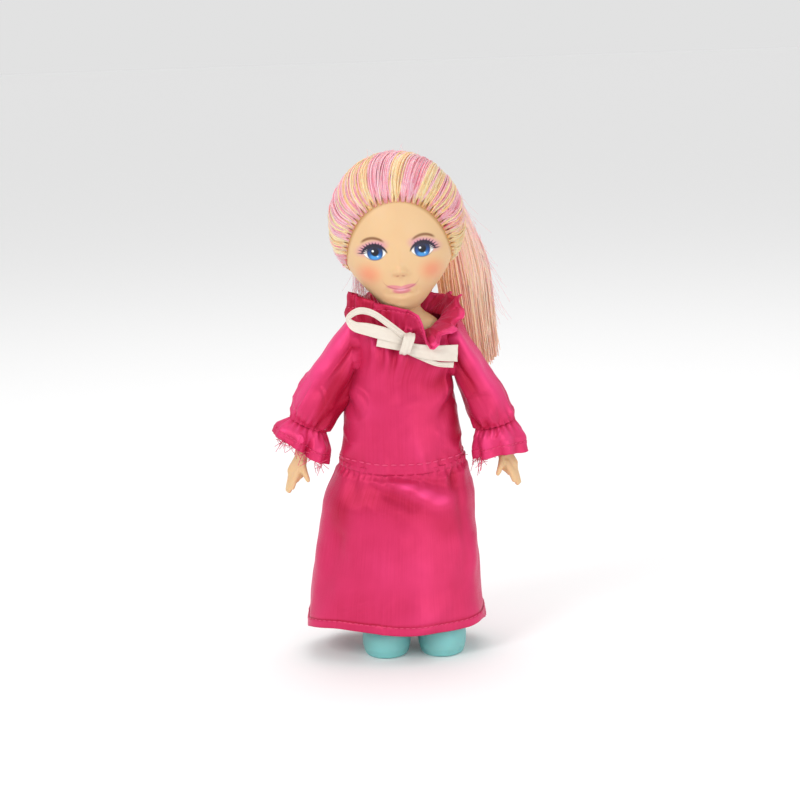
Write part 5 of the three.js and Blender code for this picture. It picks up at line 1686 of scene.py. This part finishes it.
def collar():
    rows, around = 48, 440
    angle = gown_round(around)
    degrees = np.degrees(angle)
    seam = neck_seam(angle) + [0, 0, -0.3]
    edge = np.stack([around_table(COLLAR_EDGE, angle, k) for k in (1, 2, 3)], -1)
    t = np.linspace(0, 1, rows)[:, None]
    outward = np.stack([np.cos(angle), np.sin(angle), 0 * angle], -1)
    bend = (seam + edge) / 2 + [0, 0, 1.2] - outward * 0.6
    puffed = near(wrapped(degrees + 172), 0, 42)[:, None]
    bend = bend * (1 - puffed) + (seam + outward * 7.4 + [0, 0, -3.4]) * puffed
    s = t[..., None]
    grid = seam * (1 - s) ** 2 + bend * 2 * s * (1 - s) + edge * s**2
    calm = 1 - 0.55 * near(degrees, -110, 34)
    ruffle = (0.7 * np.sin(17 * angle + 0.6) + 0.3 * np.sin(29 * angle)) * calm
    gathers = 0.32 * np.sin(43 * angle)
    wave = ruffle * smooth(t) + gathers * (1 - smooth(t * 1.6)) * smooth(t * 8)
    grid = grid + wave[..., None] * outward
    grid[..., 2] += 0.3 * np.cos(17 * angle) * smooth(t) * calm
    rough = rumpled(grid, 3.6, 0.5, 14) + creased(grid, 4.2, 0.4, 15)
    grid = grid + normals_of(grid) * rough[..., None]
    rolled = 0.22 * near(t, 0.93, 0.06) - 0.14 * near(t, COLLAR_HEM, 0.025)
    grid = grid + normals_of(grid) * rolled[..., None]
    # Painted light: ruffle crests pinker as painted highlight and hollows crimson as painted shade, with the
    # listed zones.
    painted_light = 0.5 + 0.25 * wave + in_zones(degrees + 0 * t, t, COLLAR_PAINTED_LIGHT)
    piece = cloth_piece("collar", grid, painted_light, thick=0.34)
    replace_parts(piece, "collar")
    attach(piece, "torso")
    return piece, grid


collar_piece, collar_grid = collar()

# The skirt: a long satin tube sewn to the waist seam, flat at the front, with a few soft
# folds at the sides and back and a doubled hem.

HEM_Z = 8.5
HEM = (49.2, 37.4)
HEM_SHIFT = -2.6
HEM_SEAM = 0.944  # where the hem's upper edge is, as a share of the skirt's length
# Waves of the lower edge: angle in degrees, half width and height.
HEM_WAVES = [(-85, 14, -0.5), (-168, 10, -0.7), (-25, 12, 0.7), (-128, 16, 0.5)]
# Standing folds: angle in degrees, half width and how proud at the hem.
SKIRT_FOLDS = [
    (-32, 13, 1.1),
    (-158, 12, 0.8),
    (28, 14, 1.2),
    (62, 12, 1.0),
    (96, 12, 1.3),
    (128, 12, 1.0),
    (158, 12, 1.1),
]
# Soft creases of the front: start and end as x and height, half width and depth.
SKIRT_CREASES = [
    ((-4.0, 49.4), (12.5, 41.4), 2.2, 1.5),
    ((-1.0, 50.6), (13.5, 46.4), 1.1, -1.0),
    ((-5.2, 46.0), (12.0, 36.5), 1.8, -0.6),
    ((-18.5, 50.0), (-21.5, 36.0), 2.6, 0.6),
    ((-15.0, 50.5), (-15.5, 40.0), 1.4, -0.4),
    ((-12.0, 50.5), (-12.0, 44.0), 1.3, 0.15),
    ((-9.0, 49.5), (-3.5, 45.5), 1.0, 0.5),
    ((-7.0, 51.5), (-5.5, 47.5), 0.7, -0.5),
    ((14.6, 51.5), (15.5, 39.0), 1.2, 1.2),
    ((12.4, 51.5), (12.0, 43.0), 0.9, -0.9),
    ((16.6, 52.5), (17.6, 44.0), 0.8, -0.8),
    ((9.5, 51.0), (10.5, 45.5), 0.8, 0.6),
    ((3.0, 50.5), (5.0, 46.5), 0.7, 0.5),
    ((17.5, 32.0), (15.5, 12.0), 1.6, 0.9),
    ((14.0, 46.0), (15.0, 12.0), 1.3, -0.6),
    ((-26.0, 10.0), (-12.0, 30.0), 3.4, 0.9),
    ((-20.0, 34.0), (-24.0, 16.0), 2.0, -0.6),
    ((3.0, 10.0), (1.0, 32.0), 4.2, 0.8),
    ((-9.0, 12.0), (-7.0, 26.0), 2.8, -0.5),
]
# Painted highlight (pinker) and painted shade (darker) on the skirt's front: x, height, half sizes and
# strength.
SKIRT_PAINTED_LIGHT = [
    (-4, 44, 18, 8, -0.22),
    (-0.5, 48.2, 2.6, 1.1, 0.4),
    (4.0, 46.0, 3.2, 1.6, 0.55),
    (8.6, 43.8, 3.4, 1.8, 0.6),
    (-11, 45, 5, 4, -0.15),
    (15, 49, 5, 5, -0.28),
    (-20, 41, 4, 7, -0.3),
    (-4, 24, 16, 11, 0.2),
    (12, 36, 6, 5, -0.2),
    (2, 11, 18, 4, 0.08),
]
BACK_CREASES = 12


def skirt():
    rows, top_rows, around = 132, 34, 320
    angle = gown_round(around)[None, :] * np.ones((rows, 1))
    degrees = np.degrees(angle)
    top = np.linspace(-0.03, 0.12, top_rows, endpoint=False)
    s = np.concatenate([top, np.linspace(0.12, 1, rows - top_rows)])[:, None] * np.ones((1, around))
    t = np.clip(s, 0, 1)
    hip = smooth(t * 4)
    wide = WAIST[0] - 0.9 + 1.2 * smooth(t * 18) + hip * (3.7 + (HEM[0] - WAIST[0] - 4.0) * t)
    deep = WAIST[1] - 0.9 + 1.1 * smooth(t * 18) + hip * (3.2 + (HEM[1] - WAIST[1] - 3.4) * t)
    top_z = WAIST_Z - waist_dip(angle)
    z = top_z + (HEM_Z - top_z) * s
    x = wide / 2 * squared(np.cos(angle), 2.1)
    y = deep / 2 * squared(np.sin(angle), 2.1)
    centred = np.stack([x, y, z], -1)
    outward = unit(centred * [1, 1, 0])
    swell = -0.1 * smooth(t * 1.2)
    for at, width, proud in SKIRT_FOLDS:
        swell += proud * near(wrapped(degrees - at), 0, width) * smooth(t * 1.2)
    front = smooth(-outward[..., 1] * 1.8)
    x = x + gown_shift(z) + HEM_SHIFT * t
    loose = smooth(t * 22)
    for start, end, width, high in SKIRT_CREASES:
        swell += ridge(x, z, start, end, width, high) * front * loose
    for k in range(BACK_CREASES):
        at = 12 + 156 * k / (BACK_CREASES - 1)
        swell += ridge(degrees, z, (at, 53), (at + 3, 34), 3.2, 0.7) * loose
    pleats = 0.16 * np.sin(46 * angle + 3 * np.sin(3 * angle)) * near(t, 0, 0.05)
    swell += rumpled(centred, 12.0, 0.7, 21) * smooth(t * 5) + rumpled(centred, 4.5, 0.2, 22) * loose
    swell += creased(centred, 13.0, 0.45, 23) * smooth(t * 4) + pleats
    hem_wave = 0.5 * np.sin(2.2 * angle + 0.4)
    for at, width, high in HEM_WAVES:
        hem_wave += high * near(degrees, at, width)
    hem = 0.16 * smooth((t - HEM_SEAM) / 0.006) - 0.2 * near(t, HEM_SEAM, 0.007)
    # Painted light: fold crests pinker as painted highlight and hollows crimson as painted shade, with the
    # listed zones on the front, and a line of painted shade in the hem's seam.
    painted_light = 0.5 + 0.14 * (swell - swell.mean(1, keepdims=True)) + in_zones(x, z, SKIRT_PAINTED_LIGHT) * front
    painted_light = painted_light - 0.5 * near(t, HEM_SEAM, 0.006)
    grid = np.stack([x, y, z + hem_wave * t**3], -1) + outward * (swell + hem)[..., None]
    piece = cloth_piece("skirt", grid, painted_light, thick=0.35)
    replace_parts(piece, "skirt")
    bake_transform(piece)
    return piece, grid


skirt_piece, skirt_grid = skirt()

# The stitching: topstitches above the waist seam and along the hems, each a short raised
# thread that dips into the cloth at both ends.

STITCH_THREAD = (0.74, 0.05, 0.17)
# Each kind of stitch: from one to the next, its own length and its thickness.
WAIST_STITCH = (2.3, 1.75, 0.46)
HEM_STITCH = (1.6, 1.1, 0.24)
COLLAR_STITCH = (1.4, 0.95, 0.22)
CUFF_STITCH = (1.5, 1.05, 0.26)
HEM_STITCH_ROW = 0.9595
WAIST_STITCH_ROW = 0.045


def stitch_tree(material):
    """Geometry Nodes that set stitches along a line: a thread on each spacing."""
    numbers = {"Spacing": "Float", "Stitch long": "Float", "Thread": "Float"}
    tree, given = new_group("stitches", numbers)
    curve = tree.nodes.new("GeometryNodeMeshToCurve")
    spaced = tree.nodes.new("GeometryNodeResampleCurve")
    spaced.mode = "LENGTH"
    points = tree.nodes.new("GeometryNodeCurveToPoints")
    points.mode = "EVALUATED"
    thread = tree.nodes.new("GeometryNodeMeshUVSphere")
    thread.inputs["Segments"].default_value = 8
    thread.inputs["Rings"].default_value = 6
    thread.inputs["Radius"].default_value = 0.5
    scale = tree.nodes.new("ShaderNodeCombineXYZ")
    stitches = tree.nodes.new("GeometryNodeInstanceOnPoints")
    sized = tree.nodes.new("GeometryNodeScaleInstances")
    tree.links.new(given.outputs["Geometry"], curve.inputs["Mesh"])
    tree.links.new(curve.outputs["Curve"], spaced.inputs["Curve"])
    tree.links.new(given.outputs["Spacing"], spaced.inputs["Length"])
    tree.links.new(spaced.outputs["Curve"], points.inputs["Curve"])
    tree.links.new(points.outputs["Points"], stitches.inputs["Points"])
    tree.links.new(thread.outputs["Mesh"], stitches.inputs["Instance"])
    tree.links.new(points.outputs["Rotation"], stitches.inputs["Rotation"])
    for axis, number in (("X", "Thread"), ("Y", "Thread"), ("Z", "Stitch long")):
        tree.links.new(given.outputs[number], scale.inputs[axis])
    tree.links.new(stitches.outputs["Instances"], sized.inputs["Instances"])
    tree.links.new(scale.outputs["Vector"], sized.inputs["Scale"])
    end_group(tree, sized.outputs["Instances"], material)
    return tree


thread_material = plain_material("sewing_thread", STITCH_THREAD, 0.5)
thread_tree = thread_material.node_tree
bumped(thread_tree, waved(thread_tree, object_place(thread_tree), 3000), 0.4, 0.05)
stitching = stitch_tree(thread_material)


def stitched(name, line, spacing, long, thick, closed=True):
    """A line of stitches through points in mm, as one piece."""
    mesh = bpy.data.meshes.new(name)
    count = len(line)
    edges = [(i, (i + 1) % count) for i in range(count if closed else count - 1)]
    mesh.from_pydata(((line + NECK_AXIS) * MM).tolist(), edges, [])
    piece = linked(name, mesh)
    sew = piece.modifiers.new("sew", "NODES")
    sew.node_group = stitching
    for number, value in (("Spacing", spacing), ("Stitch long", long), ("Thread", thick)):
        set_input(sew, number, value * MM)
    made_plain(piece)
    return piece


def line_on(grid, share, lift, closed=True):
    """The line round a grid at a share of its rows, lifted a little off the cloth."""
    row = share * (len(grid) - 1)
    i = int(row)
    points = grid[i] + (grid[i + 1] - grid[i]) * (row - i)
    return points + normals_of(grid, closed)[i] * lift


waist_stitches = {}
for where, name in (("front", "bodice_front"), ("left", "bodice_back_left"), ("right", "bodice_back_right")):
    line = line_on(panel_grids[name], WAIST_STITCH_ROW, 0.1, closed=False)
    waist_stitches[where] = stitched(f"waist_stitches_{where}", line, *WAIST_STITCH, closed=False)
    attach(waist_stitches[where], "torso")
hem_stitches = stitched("hem_stitches", line_on(skirt_grid, HEM_STITCH_ROW, 0.12), *HEM_STITCH)
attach(hem_stitches, "leg_left")
collar_stitches = stitched("collar_stitches", line_on(collar_grid, COLLAR_HEM, 0.1), *COLLAR_STITCH)
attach(collar_stitches, "torso")
cuff_stitches = {}
for _, label in SIDES:
    line = line_on(cuffs[label][1], CUFF_HEM, 0.1)
    cuff_stitches[label] = stitched(f"cuff_stitches_{label}", line, *CUFF_STITCH)
    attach(cuff_stitches[label], f"arm_{label}")

# The frayed threads: the raw edges inside the cuffs and at the back of the hem have shed
# fine crimson threads, and a few stand out from the gathers at the waist.

THREAD_HALF = 0.09
THREAD_STEPS = 9
FRAY_RED = (0.72, 0.05, 0.15)


def frayed(name, places, body, long, count, seed, down=1.0):
    """Loose curling threads at places of the cloth's edge, as one piece."""
    draw = np.random.default_rng(seed)
    pick = draw.integers(0, len(places), count)
    roots = places[pick] + draw.normal(0, 0.2, (count, 3))
    t = np.linspace(0, 1, THREAD_STEPS)[None, :, None]
    heading = unit(draw.normal(0, 0.6, (count, 3)) + [0, -0.2, -down])
    curl = draw.normal(0, 0.55, (count, 1, 3)) * long
    reach = long * (0.35 + 0.65 * draw.random((count, 1, 1)))
    paths = roots[:, None] + heading[:, None] * reach * t + curl * t * t * (1 - 0.4 * t)
    tints = np.array(FRAY_RED) * (0.8 + 0.4 * draw.random((count, 1, 1)))
    tints = tints * np.ones((1, THREAD_STEPS, 1))
    thick = np.full((count, THREAD_STEPS), THREAD_HALF)
    piece = fibres(name, paths, thick, np.clip(tints, 0, 1), fray_material)
    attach(piece, body)


fray_material = plain_material("loose_thread", FRAY_RED, 0.5)
fray_tree = fray_material.node_tree
fray_tint = attribute_of(fray_tree, "tint", "Color")
fray_place = object_place(fray_tree)
coloured(fray_tree, blotched(fray_tree, fray_place, fray_tint, (0.9, 0.3, 0.4), 0.3, 900, 0.4, 0.7))
left_edge = cuffs["left"][1][-1]
right_edge = cuffs["right"][1][-1]
front_waist = panel_grids["bodice_front"][3]
frayed("cuff_frays_left", left_edge[20:95], "arm_left", 3.0, 46, 31)
frayed("cuff_frays_right", np.concatenate([right_edge[:40], right_edge[185:]]), "arm_right", 3.2, 60, 32)
frayed("hem_frays", skirt_grid[-3][255:300], "leg_left", 2.0, 18, 33, 0.2)
frayed("waist_frays", front_waist[150:168], "torso", 1.5, 10, 34, 0.3)

# The bow: flat cream ribbon, about 3.5 mm wide, with one open loop, a short end, a wide tail
# and a thin one below it, tied in a flat knot at the neck and sewn to the bodice.

FRONT_Y = -12.5
RIBBON = 0.32
CREAM = (0.76, 0.69, 0.60)
CREAM_DUSTY = (0.66, 0.57, 0.48)
# Each part of the bow: its places, with y from the bodice's front, and its widths and the
# ways that it faces there.
BOW = {
    "loop": (
        [(0.6, -0.6, 88.8), (-3.8, -1.3, 92.6), (-8.0, -1.6, 95.8), (-11.8, -1.0, 96.6),
         (-14.7, 0.4, 94.6), (-13.2, -0.2, 92.4), (-9.2, -1.0, 91.4), (-4.0, -1.1, 89.8),
         (0.6, -0.4, 88.0)],
        [1.8, 1.7, 1.7, 1.8, 1.6, 2.6, 3.4, 3.4, 2.6],
        [(0.1, -0.9, 0.5), (0, -0.9, 0.5), (-0.1, -0.9, 0.45), (-0.3, -0.9, 0.2), (-0.7, -0.7, 0),
         (-0.3, -0.9, 0.1), (0, -1, 0.05), (0, -1, 0), (0, -1, 0)],
    ),
    "short_end": (
        [(0.8, -0.1, 86.6), (-2.0, -0.5, 87.3), (-4.8, -0.7, 88.0), (-7.2, -0.5, 88.5)],
        [3.2, 3.4, 3.5, 3.4],
        [(0, -1, 0), (0, -1, 0), (-0.05, -1, 0), (-0.1, -1, 0)],
    ),
    "wide_tail": (
        [(0.8, -0.7, 86.2), (4.0, -0.9, 85.2), (9.0, -0.5, 84.4), (14.2, 0.7, 84.0)],
        [3.0, 3.6, 4.2, 4.6],
        [(0, -1, 0), (0.05, -1, 0), (0.1, -1, 0), (0.3, -1, 0)],
    ),
    "thin_tail": (
        [(0.8, -0.2, 85.4), (4.0, -0.3, 83.6), (8.6, -0.1, 81.4), (13.0, 1.0, 80.8)],
        [2.0, 1.6, 1.3, 1.5],
        [(0, -1, -0.2), (0.05, -1, -0.2), (0.1, -1, -0.2), (0.3, -1, -0.1)],
    ),
}
KNOT = (
    [(1.6, -0.2, 89.8), (1.4, -1.8, 89.0), (0.7, -2.1, 87.0), (0.1, -1.6, 85.2), (-0.1, -0.2, 84.6)],
    [2.6, 3.0, 2.8, 3.0, 2.6],
    [(0, -0.5, 1), (0, -1, 0.5), (0, -1, 0), (0, -1, -0.5), (0, -0.5, -1)],
)
KNOT_CUP = 0.3


def ribbon_run(name, line, widths, facing, cup=0.0):
    """A ribbon along a line of places, with its middle raised by its cup."""
    path = curve_through(np.array(line) + [0, FRONT_Y, 0], 90)
    wide = curve_through(np.array(widths, float)[:, None], 90)
    face = unit(curve_through(facing, 90))
    ahead = unit(np.gradient(path, axis=0))
    across = unit(np.cross(face, ahead))
    share = np.linspace(-0.5, 0.5, 17)
    raised = cup * (1 - (2 * share) ** 2) + 0.1 * np.cos(2 * math.pi * share * 2)
    grid = path[:, None] + across[:, None] * (wide * share)[..., None]
    grid = grid + face[:, None] * raised[None, :, None]
    piece = linked(name, quad_mesh(name, grid, closed=False))
    wall = piece.modifiers.new("ribbon", "SOLIDIFY")
    wall.thickness = RIBBON * MM
    wall.offset = 0
    made_plain(piece)
    return piece


ribbon_material = plain_material("grosgrain_ribbon", CREAM, 0.62, Sheen_Weight=0.3)
ribbon_tree = ribbon_material.node_tree
ribbon_place = object_place(ribbon_tree)
ribbon_base = flat_colour(ribbon_tree, CREAM)
coloured(ribbon_tree, blotched(ribbon_tree, ribbon_place, ribbon_base, CREAM_DUSTY, 0.35, 300, 0.4, 0.7, 3))
bumped(ribbon_tree, waved(ribbon_tree, cloth_uv(ribbon_tree), 1.3, 0.4, "Y"), 0.35, 0.15)

bow_ribbon = joined_pieces("bow_ribbon", [ribbon_run(name, *run) for name, run in BOW.items()])
dressed_in(bow_ribbon, ribbon_material)
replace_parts(bow_ribbon, "bow_ribbon")
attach(bow_ribbon, "torso")

knot = ribbon_run("bow_knot", *KNOT, KNOT_CUP)
dressed_in(knot, ribbon_material)
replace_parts(knot, "bow_knot")
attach(knot, "torso")

# The hidden pieces: welded hard-plastic torso halves, the neck's pin and the hip axle, and
# the hook-and-loop strips inside the back opening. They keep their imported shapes.

PLASTIC = (0.78, 0.52, 0.30)
PLASTIC_FLOW = (0.72, 0.46, 0.25)
TAPE = (0.86, 0.84, 0.81)

hard_plastic = plain_material("hard_plastic", PLASTIC, 0.38)
hard_tree = hard_plastic.node_tree
hard_place = object_place(hard_tree)
hard_base = flat_colour(hard_tree, PLASTIC)
coloured(hard_tree, blotched(hard_tree, hard_place, hard_base, PLASTIC_FLOW, 0.5, 70, 0.4, 0.7))
bumped(hard_tree, noisy(hard_tree, hard_place, 1400, 2), 0.1, 0.04)

hook_tape = plain_material("hook_tape", TAPE, 0.9)
hook_tree = hook_tape.node_tree
hooks = hook_tree.nodes.new("ShaderNodeTexVoronoi")
hooks.inputs["Scale"].default_value = 3200
hook_tree.links.new(object_place(hook_tree), hooks.inputs["Vector"])
bumped(hook_tree, hooks.outputs["Distance"], 0.8, 0.3)

for name in ("torso_front", "torso_back", "neck_pin", "hip_axle"):
    dressed_in(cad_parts[name], hard_plastic)
for name in ("closure_loop_strip", "closure_hook_strip"):
    dressed_in(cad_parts[name], hook_tape)
